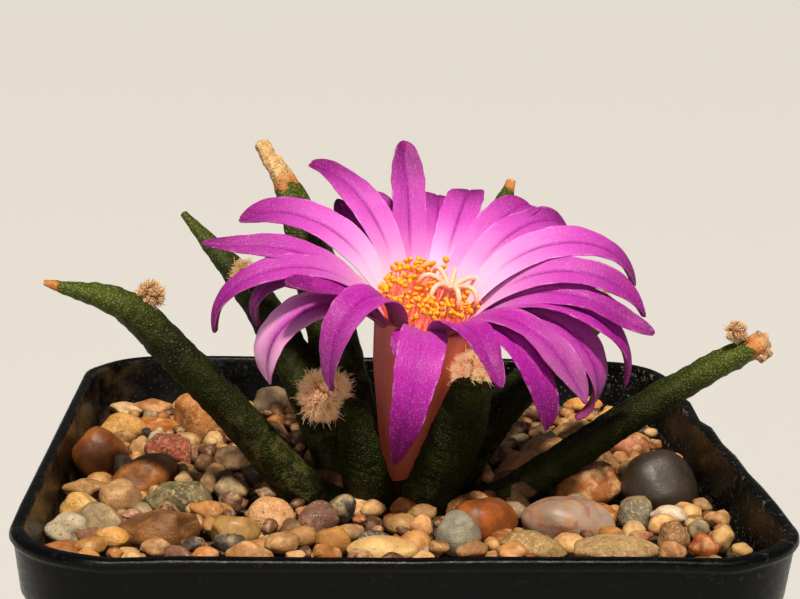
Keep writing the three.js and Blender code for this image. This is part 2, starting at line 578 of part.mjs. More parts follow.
// Petal: an arched blade, folded along its middle, whose angle falls from its base to its tip
function petal(row) {
  const [azimuth, length, rise, droop, hook, width, widest, blunt, sweep, twist, spread = PETAL_BEND] = row;
  const turn = radians(azimuth);
  const out = RIGHTWARD.clone().multiplyScalar(Math.cos(turn)).addScaledVector(BACKWARD, Math.sin(turn));
  const side = RIGHTWARD.clone().multiplyScalar(-Math.sin(turn)).addScaledVector(BACKWARD, Math.cos(turn));
  const skin = PETAL_THICKNESS / 2;
  const section = [[-1, skin], [0, skin], [1, skin], [1, -skin], [0, -skin], [-1, -skin]];
  const rings = [];
  let r = PETAL_RADIUS;
  let h = PETAL_START;
  for (let i = 0; i <= PETAL_FINE_STEPS; i++) {
    const s = i / PETAL_FINE_STEPS;
    const angle = radians(rise + (droop - rise) * s ** spread - hook * smoothStep(s, PETAL_TIP_BEND, 1));
    if (PETAL_STATIONS.some((station) => Math.round(station * PETAL_FINE_STEPS) === i)) {
      const centre = THROAT.clone().addScaledVector(out, r).addScaledVector(AXIS, h);
      centre.addScaledVector(side, length * sweep * s * s);
      const inner = out.clone().multiplyScalar(-Math.sin(angle)).addScaledVector(AXIS, Math.cos(angle));
      const roll = radians(twist) * smoothStep(s, 0, PETAL_TWIST_FULL);
      const edge = side.clone().multiplyScalar(Math.cos(roll)).addScaledVector(inner, Math.sin(roll));
      const face = inner.clone().multiplyScalar(Math.cos(roll)).addScaledVector(side, -Math.sin(roll));
      const half = petalHalfWidth(s, width, widest, blunt);
      rings.push(section.map(([across, depth]) => centre.clone()
        .addScaledVector(edge, across * half)
        .addScaledVector(face, depth + PETAL_CHANNEL * half * (Math.abs(across) - 0.5))));
    }
    r += Math.cos(angle) * length / PETAL_FINE_STEPS;
    h += Math.sin(angle) * length / PETAL_FINE_STEPS;
  }
  return loft(rings);
}

// Open funnel with a floor, and a ring above it that carries the petals
function buildFlower() {
  const [foot] = TUBE_RADII[0];
  const bore = TUBE_RADII.filter(([h]) => h > CHAMBER_FLOOR).map(([h, r]) => [r - TUBE_WALL, h]).reverse();
  const tube = [[0, foot], ...TUBE_RADII.map(([h, r]) => [r, h]), ...bore, [0, CHAMBER_FLOOR]];
  place('flower_tube', toGeometry(toSolid(turnedOnFlowerAxis(tube))), TUBE_PINK, 0.5);
  const bottom = TUBE_TOP + GAP;
  const collar = turnedOnFlowerAxis([
    [COLLAR_INNER, bottom], [COLLAR_OUTER, bottom], [COLLAR_OUTER, COLLAR_TOP], [COLLAR_INNER, COLLAR_TOP],
    [COLLAR_INNER, bottom],
  ]);
  place('flower_petals', toGeometry(fuse([collar, ...PETALS.map(petal)])), MAGENTA, 0.45);
}

// Point given by radius, azimuth and height about the flower's axis
function flowerPoint(radius, azimuth, height) {
  return THROAT.clone()
    .addScaledVector(RIGHTWARD, radius * Math.cos(azimuth))
    .addScaledVector(BACKWARD, radius * Math.sin(azimuth))
    .addScaledVector(AXIS, height);
}

// Bent rod through points, with its own radius at each
function rod(points, radii, sides) {
  const along = points[points.length - 1].clone().sub(points[0]).normalize();
  const side = new THREE.Vector3().crossVectors(along, Math.abs(along.z) > 0.9 ? RIGHTWARD : UP).normalize();
  const other = new THREE.Vector3().crossVectors(along, side);
  return loft(points.map((centre, i) => Array.from({ length: sides }, (unused, j) => {
    const angle = j / sides * 2 * Math.PI;
    return centre.clone().addScaledVector(side, radii[i] * Math.cos(angle))
      .addScaledVector(other, radii[i] * Math.sin(angle));
  })));
}

// Style up through the tube, with the stigma's lobes spread over the stamens
function buildPistil() {
  const foot = flowerPoint(0, 0, CHAMBER_FLOOR + 2 * GAP);
  const head = flowerPoint(STIGMA.radius, radians(STIGMA.azimuth), STIGMA.height);
  const middle = flowerPoint(0, 0, STAMEN_RING.height);
  const style = rod([foot, middle, head], [STYLE_FOOT_RADIUS, STYLE_RADIUS, STYLE_RADIUS], 6);
  const root = head.clone().addScaledVector(AXIS, LOBE_ARCH.foot);
  const lobes = Array.from({ length: STIGMA.lobes }, (unused, i) => {
    const angle = (i + 0.3) / STIGMA.lobes * 2 * Math.PI;
    const out = RIGHTWARD.clone().multiplyScalar(Math.cos(angle)).addScaledVector(BACKWARD, Math.sin(angle));
    const bend = head.clone().addScaledVector(AXIS, LOBE_ARCH.bend);
    bend.addScaledVector(out, LOBE_ARCH.bendAt * STIGMA.reach);
    const tip = head.clone().addScaledVector(out, STIGMA.reach).addScaledVector(AXIS, LOBE_ARCH.tip);
    return rod([root, bend, tip], LOBE_RADII, 5);
  });
  place('pistil', toGeometry(fuse([style, ...lobes])), STIGMA_CREAM, 0.5);
}

// Distance from a point to the straight line between a and b
function distanceToLine(point, a, b) {
  return new THREE.Line3(a, b).closestPointToPoint(point, true, new THREE.Vector3()).distanceTo(point);
}

// Stamens: filaments rising from a ring inside the tube, each with its anther, clear of the pistil
function buildStamens() {
  const { height: ringHeight, radius: ringRadius } = STAMEN_RING;
  const parts = [turnedOnFlowerAxis([
    [ringRadius - 0.35, ringHeight - 0.7], [ringRadius + 0.25, ringHeight - 0.7],
    [ringRadius + 0.5, ringHeight + 0.6], [ringRadius - 0.15, ringHeight + 0.6],
    [ringRadius - 0.35, ringHeight - 0.7],
  ])];
  const foot = flowerPoint(0, 0, ringHeight);
  const head = flowerPoint(STIGMA.radius, radians(STIGMA.azimuth), STIGMA.height);
  for (let i = 0; i < STAMEN_COUNT; i++) {
    const azimuth = i * GOLDEN_ANGLE;
    const radius = STAMEN_SPREAD.inner + STAMEN_SPREAD.width * Math.sqrt((i + 0.5) / STAMEN_COUNT);
    const lift = STAMEN_HEIGHT.towardsBack * Math.sin(azimuth) + STAMEN_HEIGHT.uneven * Math.sin(5 * i);
    const start = flowerPoint(ringRadius, azimuth, ringHeight);
    const kneeRadius = Math.min((ringRadius + radius) / 2, ringRadius + 0.15);
    const knee = flowerPoint(kneeRadius, azimuth, STAMEN_HEIGHT.knee);
    const free = flowerPoint(radius, azimuth, STAMEN_HEIGHT.middle + lift);
    const underStigma = free.distanceTo(head) < STIGMA.reach + STIGMA_CLEAR;
    const tip = underStigma ? flowerPoint(radius, azimuth, STIGMA_SHADE) : free;
    const toStyle = Math.min(distanceToLine(tip, foot, head), distanceToLine(knee, foot, head));
    if (toStyle >= STAMEN_CLEAR) {
      parts.push(rod([start, knee, tip], FILAMENT_RADII, 3));
      parts.push(new THREE.OctahedronGeometry(1, 0).scale(...ANTHER).translate(tip.x, tip.y, tip.z));
    }
  }
  place('stamens', toGeometry(fuse(parts)), ANTHER_YELLOW, 0.7);
}

const plantClearance = fuse(plantParts(GAP));
buildPot();
buildSoil();
buildDressing(plantClearance);
buildPlant();
buildWool(plantClearance);
buildFlower();
buildPistil();
buildStamens();

export default model;
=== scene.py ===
import bpy
import numpy as np
from mathutils import Matrix


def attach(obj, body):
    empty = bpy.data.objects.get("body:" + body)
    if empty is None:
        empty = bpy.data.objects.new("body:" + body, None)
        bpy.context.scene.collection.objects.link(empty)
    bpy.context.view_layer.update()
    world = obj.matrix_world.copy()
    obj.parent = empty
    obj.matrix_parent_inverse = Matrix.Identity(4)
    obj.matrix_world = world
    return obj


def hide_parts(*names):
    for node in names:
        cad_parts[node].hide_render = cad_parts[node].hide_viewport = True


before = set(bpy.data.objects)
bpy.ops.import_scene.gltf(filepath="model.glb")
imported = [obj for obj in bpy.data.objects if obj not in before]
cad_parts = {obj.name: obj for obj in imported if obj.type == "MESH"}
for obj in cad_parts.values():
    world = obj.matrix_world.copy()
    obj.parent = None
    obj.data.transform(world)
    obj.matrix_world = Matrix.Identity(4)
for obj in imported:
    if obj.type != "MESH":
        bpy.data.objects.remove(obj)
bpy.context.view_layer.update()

bl_info = {
    "name": "Potted finger-leaved rock cactus",
    "version": (1, 0, 0),
    "blender": (4, 5, 0),
    "location": "3D View > Sidebar > Rock cactus",
    "description": "Builds a flowering living rock cactus in a square pot with a pebble top dressing",
    "category": "Add Mesh",
}

MM = 0.001
GOLDEN_ANGLE = 2.39996
UP = np.array([0.0, 0.0, 1.0])

# Pot and dressing, in millimetres as every table here
RIM_HALF, BASE_HALF, RIM_HEIGHT = 35, 25, 65
BAND_BOTTOM, BAND_STEP, BAND_INSET = 58.2, 0.9, 0.8
LEDGE_TOP = BAND_BOTTOM + BAND_STEP
CORNER_RIM, CORNER_BASE = 9.5, 6
WALL, FLOOR, BEAD, LIP_HEIGHT, FOOT_BEVEL = 0.9, 1.5, 0.35, 1.1, 0.8
DRAIN_RADIUS, DRAIN_PLACE = 2.6, 15

# Dressing: its level changes with y by the slope. Packed pebbles stand in rows by the pitch, within the
# limit, and keep a share of both half widths from a larger pebble. Fill-in pebbles heap up within a half
# width and a height over the level, each tried in a number of spots. The grit leaves a gap to the wall.
DRESSING_BOTTOM = 52
LEVEL, LEVEL_SLOPE, SLAB_DEPTH = 60.2, -0.025, 1.75
PEBBLE_PITCH, PEBBLE_LIMIT, PEBBLE_ROWS, PEBBLE_SPACING = 6.8, 32.4, 4, 0.72
CROWN_CENTRE, CROWN_REACH = (0.8, 0.2), 7
HEAP_HALF, HEAP_HEIGHT, SPOTS_TRIED, GRIT_GAP = 32.5, 1.15, 40, 0.35

# Bead of the lip: inset from the rim's half width, and height over the lip's lower edge
BEAD_OUTLINE = [(BEAD - 0.02, 0), (0.1, 0.18), (0, 0.4), (0.04, 0.75), (0.16, 1), (0.45, LIP_HEIGHT),
                (0.95, LIP_HEIGHT)]
WAVER_HEIGHTS = (60, 64.5)

# Taproot and crown: radius and height
ROOT_PROFILE = [[0, 18], [1.4, 18.6], [3.4, 27], [5.6, 39], [7.2, 50], [8.4, 54.5], [7.8, 57.6], [5, 59.8],
                [0, 60.6]]

# Flower frame: the foot of its tube, the middle of its throat, and the directions about its axis
TUBE_FOOT = np.array([0.2, 1.5, 59.0])
THROAT = np.array([2.8, -4.6, 79.3])
AXIS = (THROAT - TUBE_FOOT) / np.linalg.norm(THROAT - TUBE_FOOT)
RIGHTWARD = np.array([1.0, 0, 0]) - AXIS[0] * AXIS
RIGHTWARD /= np.linalg.norm(RIGHTWARD)
BACKWARD = np.cross(AXIS, RIGHTWARD)
TUBE_RADII = [[-21.4, 0.9], [-17, 1.9], [-13.2, 2.9], [-6.5, 4.4], [-1.5, 5]]
# The last of these is the azimuth of the tube's side that is painted as lit.
TUBE_WALL, TUBE_TOP, HOLLOW_BOTTOM, PAINTED_LIT_SIDE = 0.75, [0.3, 5.35], -14.2, 5.6
STAMEN_RING, STYLE_CLEARANCE = (3.25, -4.4), 0.9
ANTHER_DISC, FRONT_LEAN = (1.2, 3.9), 0.3
ANTHER_HEIGHT, ANTHER_SPREAD, LOW_SHARE, LOW_DROP = 2.5, (-0.9, 0.8), 0.12, 1.6
STIGMA_RADIUS, STIGMA_AZIMUTH, STIGMA_HEIGHT, STIGMA_REACH, LOBE_HALF = 2.15, 27, 2.6, 3.3, 0.27
STYLE_FOOT, STYLE_SHARES, STYLE_HALVES = -13.6, [0, 0.3, 0.9, 1], [0.7, 0.5, 0.5, 0.62]

# Blades of the petals: where they start, and further out by a share of how much flatter than usual they rise;
# the fold along the middle; grooves as depth, place and width over half the blade; unevenness of the margins
# as share, number of waves and shift; depth and width of a full notch; and how they thin to the margins and
# thicken towards the base
PETAL_START, PETAL_RADIUS, USUAL_RISE, RISE_SHIFT = -1, 4.3, 57, 0.022
PETAL_CHANNEL, ARCH_STEPS = 0.16, 400
GROOVES = ((0.15, 0, 0.1), (0.03, 0.42, 0.08))
RAGGED = ((0.025, 23, 1), (0.018, 61, 2.3))
NOTCH_DEPTH, NOTCH_WIDTH, MARGIN_THINNING, BASE_THICKENING = 0.09, 0.3, 0.7, 0.6

# Petals: azimuth from the right, length, angle at the base and at the tip, further bend of the tip, width,
# share at which it is widest, bluntness of the tip, sideways sweep, twist, ruffle of the margins, how deeply
# the tip is notched, how far one half is washed out, and how the bending is spread: under 1 most of it lies
# near the base
PETALS = [
    [10, 24.6, 82, -58, 10, 3.8, 0.5, 8, -0.02, 22, 0.12, 0, 0, 1.15],
    [44, 20.7, 70, -38, 12, 4, 0.55, 12, -0.07, 12, 0.35, 0.1, 0, 1.15],
    [74, 18.2, 63, -23, 0, 4, 0.6, 24, 0.02, -4, 0.2, 0.15, 0, 1.15],
    [104, 17.15, 55, 40, 3, 3.7, 0.6, 16, -0.03, 0, 0.08, 0.5, 0, 1.15],
    [126, 19.1, 68, -9, 3, 3.9, 0.6, 16, 0.1, -8, 0.25, 0.3, 0, 1.15],
    [156, 20.5, 66, -41, 0, 4.3, 0.6, 14, 0.04, -18, 0.12, 0.1, 0, 1.15],
    [183, 21, 54, -27, -22, 3.2, 0.5, 6, 0.02, -20, 0.1, 0, 0, 1.15],
    [186, 19.5, 64, -92, 31, 3.1, 0.55, 8, -0.02, -12, 0.2, 0, 0, 1.15],
    [198, 18.4, 45, -118, -1, 4.6, 0.65, 20, 0.04, -8, 0.08, 0, 0.9, 1.24],
    [223, 20.2, 72, -124, -14, 4.1, 0.45, 5, 0.16, 0, 0.15, 0, 0.05, 1.39],
    [262, 19.8, 83, -131, -20, 5, 0.36, 1.9, -0.02, 0, 0.22, 0, 0, 0.68],
    [284, 15, 72, -60, -5, 4.4, 0.45, 2.8, 0.13, 0, 0.2, 0, 0, 1.12],
    [308, 19.5, 85, -89, 10, 4, 0.5, 4, 0.1, 5, 0.3, 0, 0, 0.75],
    [338, 22.8, 66, -104, 30, 4.3, 0.55, 8, -0.08, 10, 0.3, 0, 0.12, 1.03],
    [346, 21.2, 66, -52, -35, 3.9, 0.5, 6, -0.04, 16, 0.15, 0, 0, 1.15],
    [356, 22.3, 73, -48, 8, 3.7, 0.5, 7, -0.06, 20, 0.12, 0, 0, 1.15],
    [55, 19.2, 66, -17, 40, 4.2, 0.55, 10, -0.07, 8, 0.15, 0, 0, 1.15],
    [84, 17, 50, -18, 1, 4, 0.6, 18, 0.02, 0, 0.1, 0.1, 0, 1.15],
    [112, 13.9, 39, 9, -5, 3.9, 0.6, 14, -0.07, 0, 0.1, 0.05, 0, 1.15],
    [131, 12.8, 46, 7, -30, 3.4, 0.6, 12, -0.04, 0, 0.1, 0, 0, 1.15],
    [191, 23.7, 60, -72, 29, 3.2, 0.5, 7, 0.06, -12, 0.2, 0, 0, 1.15],
    [209, 14.5, 52, -3, -15, 3.9, 0.6, 10, -0.02, 0, 0.1, 0, 0, 1.15],
    [253, 6.6, 60, -70, 0, 4, 0.6, 8, 0.05, 0, 0.1, 0, 0, 1.15],
    [317, 19.2, 80, -70, -13, 3.9, 0.55, 7, 0.08, 6, 0.3, 0, 0.15, 0.83],
    [340, 23.4, 65, -79, 17, 3.5, 0.5, 6, 0.01, 8, 0.25, 0, 0, 1.15],
]

# Tubercles: middle line, half thickness, half width over it, furrow, and the share of the length
# from which the tip is dry
TUBERCLES = {
    "left": ([[-3, -2.2, 56.5], [-8.6, -4, 60.2], [-16, -5.7, 69.1], [-21.8, -6.8, 75.6], [-26.7, -7.7, 80.5],
              [-34, -9, 82.9]], [2.7, 2.4, 2, 1.95, 1.6, 0.34], 1.35, 0.1, 0.965),
    "rear_left": ([[-3.5, 2.5, 57], [-8.5, 6, 68], [-14.5, 9, 77.8], [-22.3, 12, 86.3]],
                  [2.6, 2.1, 1.7, 0.4], 1.4, 0.1, 1.02),
    "rear": ([[-1.5, 4.5, 56], [-4.8, 8.5, 67.5], [-8.2, 11.5, 81], [-11, 13.5, 88.6], [-14.1, 15, 93.6]],
             [2.6, 2.4, 2.1, 1.4, 0.85], 1.35, 0.15, 0.76),
    "rear_right": ([[2.6, 4.2, 56], [6, 8, 70], [9.8, 12, 81], [13.3, 15, 90]],
                   [2.6, 2.2, 1.6, 0.45], 1.4, 0.1, 0.955),
    "far_right": ([[4, 2.4, 56], [12, 6, 66.5], [24.2, 11, 77]], [2.5, 1.9, 1.1], 1.35, 0.1, 0.97),
    "right": ([[4, -0.8, 55.5], [8.2, -1.5, 57.5], [13.5, -2, 60.6], [23.7, -3, 68.2], [31.3, -4, 73.5],
               [36.6, -4.6, 76.6]], [2.4, 2.1, 1.9, 1.7, 1.45, 1.25], 1.3, 0.35, 0.955),
    "front_right": ([[1.6, -2.6, 56], [4, -5.4, 61.7], [5.9, -8.2, 67.9], [7, -10, 73.2]],
                    [2.4, 2.4, 2.3, 1.7], 1.3, 0.1, 1.24),
    "front_left": ([[-1.4, -2.4, 56], [-3, -5.8, 62.4], [-4.6, -8, 70.6]], [2.2, 2, 1.3], 1.3, 0.1, 1.4),
}

# Tubercles' sections and skin: length of the rounded tip over the half thickness there, height of a section's
# upper half over its lower one, share of the length in which the skin dries, and the low waves of the skin as
# height, length and seed
TIP_LENGTH, FLAT_TOP, DRYING_SHARE = 0.55, 0.75, 0.06
SKIN_WAVES = ((0.07, 2.2, 1), (0.04, 0.9, 2))

# Scar on the rear tubercle and lumps of the right one's broken end: centre and radius
SCAR = [-11.74, 11.9, 91, 0.6]
BROKEN_END = [[36.7, -4, 77.1, 0.75], [37.2, -4.7, 76.5, 0.7], [37.2, -5.4, 75.8, 0.62],
              [36.7, -5.7, 75.3, 0.55], [36.3, -4.6, 76.2, 1.1], [37.3, -4.2, 77.2, 0.4]]

# Wool: piece, node, centre, radius, height over the radius, and how strongly it glows with painted light
TUFTS = [
    ["tuft_left", "wool_left", (-24.3, -7.1, 81.4), 1.45, 1, 0.05],
    ["tuft_rear_left", "wool_rear_left", (-15.6, 8, 80.4), 1.7, 1, 0.05],
    ["tuft_front_left", "wool_front_left", (-7.2, -6.3, 71.3), 2.7, 1, 0.12],
    ["tuft_front_right", "wool_front_right", (7.05, -8.5, 74.4), 2.1, 1.1, 0.55],
    ["tuft_right", "wool_right", (34.3, -4.2, 77.7), 1.15, 1.15, 0.05],
    ["tuft_far_right", "wool_far_right", (23.2, 10.2, 78), 0.95, 1, 0],
]

# Strands of wool: share of them that stand out as a fringe, and the range of their lengths over the radius
FRINGE_SHARE, FRINGE_LENGTHS, MATTED_LENGTHS = 0.06, (0.55, 0.7), (0.26, 0.48)
WOOL_START, WOOL_CORE, LOCK_PULL, STRAND_TAPER = 0.6, 0.66, 0.32, 0.75

# Larger pebbles: centre, half sizes, turn, tilt, lumps, sharpness of the facets, and in words both colours,
# the finish and the kind of stone
STONES = {
    "brown_left": [-30.9, 5.7, 60.9, 3.2, 3.1, 3.2, 0, 0, 0.05, 5, "8a5228 5c3014 smooth brown"],
    "tan_wedge_back": [-20, 21.8, 60.8, 4.7, 3.2, 3.9, 10, 20, 0.09, 16, "b8783e 8c5428 grainy tan"],
    "tan_back_left": [-29.9, 19.4, 59.9, 2.7, 2.2, 1.8, 30, 0, 0.06, 8, "c8954f a97838 grainy tan"],
    "maroon": [-23.4, 8.9, 60.6, 2.7, 2, 2.1, 0, 25, 0.13, 18, "944434 60281c grainy maroon"],
    "brown_glossy": [-25.3, 0.8, 60.4, 3.6, 2.5, 2.5, 15, -12, 0.06, 12, "9c6432 5c3416 smooth brown"],
    "grey_green": [-21.8, -6.1, 60.4, 3.5, 2.3, 2.1, 5, 0, 0.08, 14, "746a4a 4c442c grainy grey"],
    "brown_grey_wedge": [-22.6, -16.1, 60.6, 4.4, 2.7, 2.5, -5, -20, 0.06, 24, "92643a 603e20 banded brown"],
    "pale_angular": [-31.4, -15.9, 60.6, 1.9, 1.8, 1.6, 20, 0, 0.12, 16, "c4b8a2 9a8c78 grainy pale"],
    "cream_left": [-31, -9.8, 60.6, 2.1, 1.8, 1.7, 0, 0, 0.06, 8, "d8ae6c b98a48 grainy cream"],
    "speckled": [-27.4, -7, 60.7, 2.1, 1.9, 1.9, 0, 15, 0.05, 8, "c49a6c 8e6c48 banded cream"],
    "yellow_square": [-15.8, -16.4, 60.6, 2.3, 1.8, 1.9, 0, -8, 0.04, 22, "b08c58 8a6838 smooth pale"],
    "pink_cream": [-12.4, -12.1, 60.7, 2.4, 1.9, 2, 0, 20, 0.04, 6, "d8a878 b8855c speckled cream"],
    "purple_brown": [-7.9, -13, 60.5, 2.1, 1.7, 1.9, 0, 0, 0.06, 6, "8a6250 63443a speckled maroon"],
    "ochre_long": [-6.6, -19.1, 60.7, 1.9, 1.4, 1.4, 20, 30, 0.06, 8, "c08a48 9c6c34 banded tan"],
    "cream_long": [-2.2, -21.2, 60.6, 3.4, 1.9, 1.4, 5, 0, 0.04, 5, "dcb87e bd9660 banded cream"],
    "slate_small": [-2.5, -16.7, 60, 1.9, 1.2, 0.9, 10, 10, 0.08, 12, "45464c 2f3034 grainy dark"],
    "cream_mid": [-16.4, 9, 60, 2.4, 2, 1.3, 20, 0, 0.06, 7, "bfa479 98805a grainy cream"],
    "blue_grey": [5.3, -18.3, 61.1, 2.6, 2, 2.3, 40, 30, 0.03, 5, "a8a290 716c60 banded grey"],
    "lilac_veined": [16.5, -12.6, 60.5, 5, 3, 2.5, 0, 10, 0.04, 7, "9c8474 8b5440 veined lilac"],
    "grey_big": [27.3, -3, 60.8, 4.7, 3.6, 3.8, 0, 20, 0.05, 6, "352c24 241d17 smooth dark"],
    "orange_brown": [8.4, -12.3, 60.3, 3.2, 2.2, 2.4, 8, 8, 0.06, 13, "9c5424 6a3818 smooth brown"],
    "brown_mid": [22.3, 5.8, 60.2, 3, 2.3, 2.3, 0, 10, 0.05, 8, "8f6239 6a4526 grainy brown"],
    "grey_small": [23.6, -10.6, 60.3, 1.8, 1.4, 1.8, 0, -30, 0.06, 16, "746c5c 4c463a grainy grey"],
    "brown_right": [25.7, -18.2, 60.8, 1.5, 1.4, 1.8, 0, 20, 0.06, 10, "9c724c 754f30 grainy brown"],
    "tan_wedge_front": [12.2, -19.6, 60.6, 3, 1.9, 1.3, 0, 12, 0.08, 14, "a28458 7e6238 grainy tan"],
    "tan_long_front": [19.4, -21.6, 60.7, 4.5, 2.1, 1.5, 0, 4, 0.05, 12, "ac8f64 8b6e45 grainy tan"],
}

# Finishes: roughness of a stone where it has its first colour, and where it has its second
FINISHES = {"smooth": (0.34, 0.54), "grainy": (0.5, 0.8), "speckled": (0.4, 0.65), "banded": (0.35, 0.6),
            "veined": (0.26, 0.45)}
FACETS, FACET_LIMITS, FULLY_FACETED = 13, (0.66, 1.04), 10
GRAVEL_SEED, LUMP_SEED, STONE_SEED, FILL_IN_SEED = 1, 40, 100, 500

# Smaller pebbles with places and colours of their own: centre, half sizes, turn, tilt, colour
SEEN_PEBBLES = [
    [-30.1, 27.8, 60, 2.3, 1.6, 0.8, 0, 5, "d9b989"], [-27.3, 28.4, 60, 2.4, 1.7, 1.3, 20, 0, "a9713f"],
    [-25.9, 20.5, 60.1, 2.5, 1.6, 1.1, -10, 0, "b8712c"], [-24.9, 12.9, 60.4, 1.6, 1.1, 1.5, 0, 20, "a39f88"],
    [-26.9, 16.2, 60.4, 0.7, 0.6, 0.7, 0, 0, "2c2a28"], [-29.2, 15, 60.4, 1.3, 1, 0.8, 10, 0, "b08048"],
    [-27.2, 9.8, 60.5, 1, 0.8, 1.3, 0, 15, "c8a06a"], [-28.2, 3.6, 60.6, 1, 0.9, 1.5, 0, 0, "8f8772"],
    [-16.8, 5.9, 60.7, 1.9, 1.5, 1.5, 0, 0, "a2805a"], [-19.6, 4.3, 60.6, 1.1, 0.9, 1.2, 30, 0, "7b5a3a"],
    [-14.2, 0.2, 60.7, 1.6, 1.2, 1.4, 0, 10, "4a3424"], [-21.4, -1.6, 60.8, 1, 0.8, 0.9, 0, 0, "d2ae78"],
    [-18.9, -2.6, 60.8, 0.9, 0.7, 1.5, 0, 10, "c9a671"],
    [-16.6, -3.7, 60.7, 1.8, 1.4, 1.4, -20, 15, "9c8863"],
    [-16.4, -8.2, 60.8, 1.4, 1.1, 1.1, 0, 0, "7d5947"], [-18.1, -10.9, 60.9, 2, 1.3, 1, 5, 8, "c98c49"],
    [-31.2, -4.3, 60.8, 2.1, 1.4, 1, 10, 0, "b98850"], [-29.1, -18.4, 61, 1.1, 0.9, 0.9, 0, 0, "9a6c4c"],
    [-26.9, -19, 61, 1.6, 1.1, 1, -10, 5, "d29a4c"], [-25.7, -12.6, 61, 1, 0.8, 0.6, 0, 0, "b07f6e"],
    [-28.4, -21.6, 61.1, 1.7, 1.2, 0.9, 20, 0, "b57f3c"], [-31, -22.4, 61, 1.7, 1.1, 1, 25, 0, "b9763c"],
    [-28.6, -24.9, 61.3, 1.3, 0.9, 0.8, 0, 0, "c98f4f"], [-26.1, -24.3, 61.5, 0.8, 0.7, 0.5, 0, 0, "b5742f"],
    [-24.4, -25.4, 61.5, 0.9, 0.7, 0.6, 0, 0, "e0bd82"], [-22.6, -21.8, 61.2, 1.4, 1, 0.9, 15, 0, "a87a4a"],
    [-20.5, -24.1, 61.2, 1.5, 1, 0.9, 0, 0, "7c5340"], [-19.4, -21.2, 61.3, 1.1, 0.9, 0.7, 0, 0, "4b443e"],
    [-18.1, -24.2, 61.3, 1.3, 1, 0.8, 10, 0, "c07c44"], [-16, -20.3, 61.1, 1.5, 1.1, 0.9, 0, 0, "4a4742"],
    [-14.2, -22.9, 60.7, 2.2, 1.3, 1.4, -8, 5, "c28b52"], [-11.2, -20.5, 61.1, 1.6, 1.2, 1, 0, 0, "a67c4c"],
    [-5.4, -10.2, 60.9, 1.4, 1.1, 1.4, 0, 0, "3a3c3a"], [-7.6, -23.4, 61.4, 1.1, 0.9, 0.7, 0, 0, "b37a3e"],
    [-3.9, -13.6, 61, 0.7, 0.6, 0.5, 0, 0, "b8703a"], [-10, -25.2, 61.5, 1, 0.8, 0.6, 0, 0, "dcb277"],
    [-4.2, -24.8, 61.3, 1.2, 0.9, 0.8, 0, 0, "7d4632"], [-12.7, 31.8, 60, 2.7, 1.9, 1.8, 10, 0, "b9a283"],
    [1.4, -24.9, 61.3, 1, 0.8, 0.7, 0, 0, "d9ab70"], [3, -22.4, 61.4, 1.1, 0.9, 0.7, 20, 0, "a57442"],
    [2, -15.6, 60.9, 1.2, 0.9, 1.1, 0, 15, "cf9a62"], [6.2, -22.6, 61.2, 1.5, 1.1, 0.9, 0, 0, "a8774a"],
    [9.6, -23.2, 61.2, 1.4, 1.1, 0.9, 10, 0, "c28b52"], [20.5, -2.5, 60.8, 3.6, 2.5, 2.3, 10, -12, "a5622a"],
    [26.6, -12.2, 60.9, 1.8, 1.2, 1, 0, 0, "e0d2bc"], [25.3, -15, 61, 1.4, 1.1, 1, 0, 0, "d39a50"],
    [22.6, -18, 61, 1.1, 0.9, 0.6, 0, 0, "ab6c4c"], [19.9, -17.5, 61, 1.3, 1, 0.7, 0, 0, "bd8240"],
    [28.6, -16.2, 61, 1.2, 1, 1, 0, 0, "93866a"], [27.9, -21.2, 61.1, 1.4, 1.1, 1.2, 0, 20, "b3591c"],
    [30, -19.2, 61.1, 1.2, 1, 1.3, 0, 0, "d7a967"], [31, -22.6, 61.3, 1, 0.8, 0.7, 0, 0, "d8b06a"],
    [24.6, -22.6, 61.2, 1.3, 1, 0.9, 0, 0, "a8774a"], [31.2, -13, 60.9, 1.3, 1, 1, 0, 0, "b98850"],
    [26.4, 4.2, 60.5, 1.5, 1.2, 1.2, 0, 0, "a8854c"], [27.5, 11.5, 60.5, 2.2, 1.6, 1.7, 15, 10, "b26a45"],
    [30.7, 13.4, 60.4, 0.8, 0.7, 0.7, 0, 0, "a9713f"], [31.6, 7.4, 60.5, 0.9, 0.7, 0.7, 0, 0, "b5803e"],
    [30.1, 19.7, 60.2, 1.1, 0.8, 0.6, 0, 0, "3e3a34"], [25.4, 31.2, 60, 2.6, 1.8, 1.1, 0, 0, "d3954a"],
    [27.6, 26.6, 60, 1.1, 0.9, 1, 0, 0, "d3954a"], [17.8, 26.3, 60.1, 2.5, 2, 1.8, 30, 0, "5e3a26"],
    [11.1, 9.2, 60.5, 2, 1.6, 1.6, 0, 0, "573626"], [-9.6, 14.4, 60.3, 1.6, 1.3, 1.2, 0, 0, "5b2f22"],
    [-13, -5.6, 60.8, 1.3, 1, 0.8, 0, 0, "6d5138"], [13.6, -3.6, 60.6, 1.8, 1.3, 1.3, 20, 0, "7d5c3c"],
]

# Colours of the many pebbles that fill the rest of the pot
GRAVEL_COLOURS = ("b07a42 c98f4f 8a5a34 d9ab70 6e4630 a5622a d8b27a 7b5a3a b08a5c "
                  "5b3a26 b3692c a8804c c28b52 a3906c b98850 a86a3c").split()
CHANNELS = ("red", "green", "blue")

# Stage: the camera's place in metres and its yaw, pitch and roll in degrees; for each lamp the place that it
# shines from, the angle of its disc in degrees and its colour; and the colour of the surroundings
CAMERA_PLACE, CAMERA_TURNS = (-0.0104, -0.1654, 0.1150), (3.73, -12.01, 1.44)
KEY_LIGHT = ((0.02, -0.32, 0.58), 6, (1, 0.91, 0.77))
FILL_LIGHT = ((-0.2, -0.6, 0.22), 35, (1, 0.95, 0.88))
AIR_COLOUR = (0.95, 0.93, 0.9, 1)


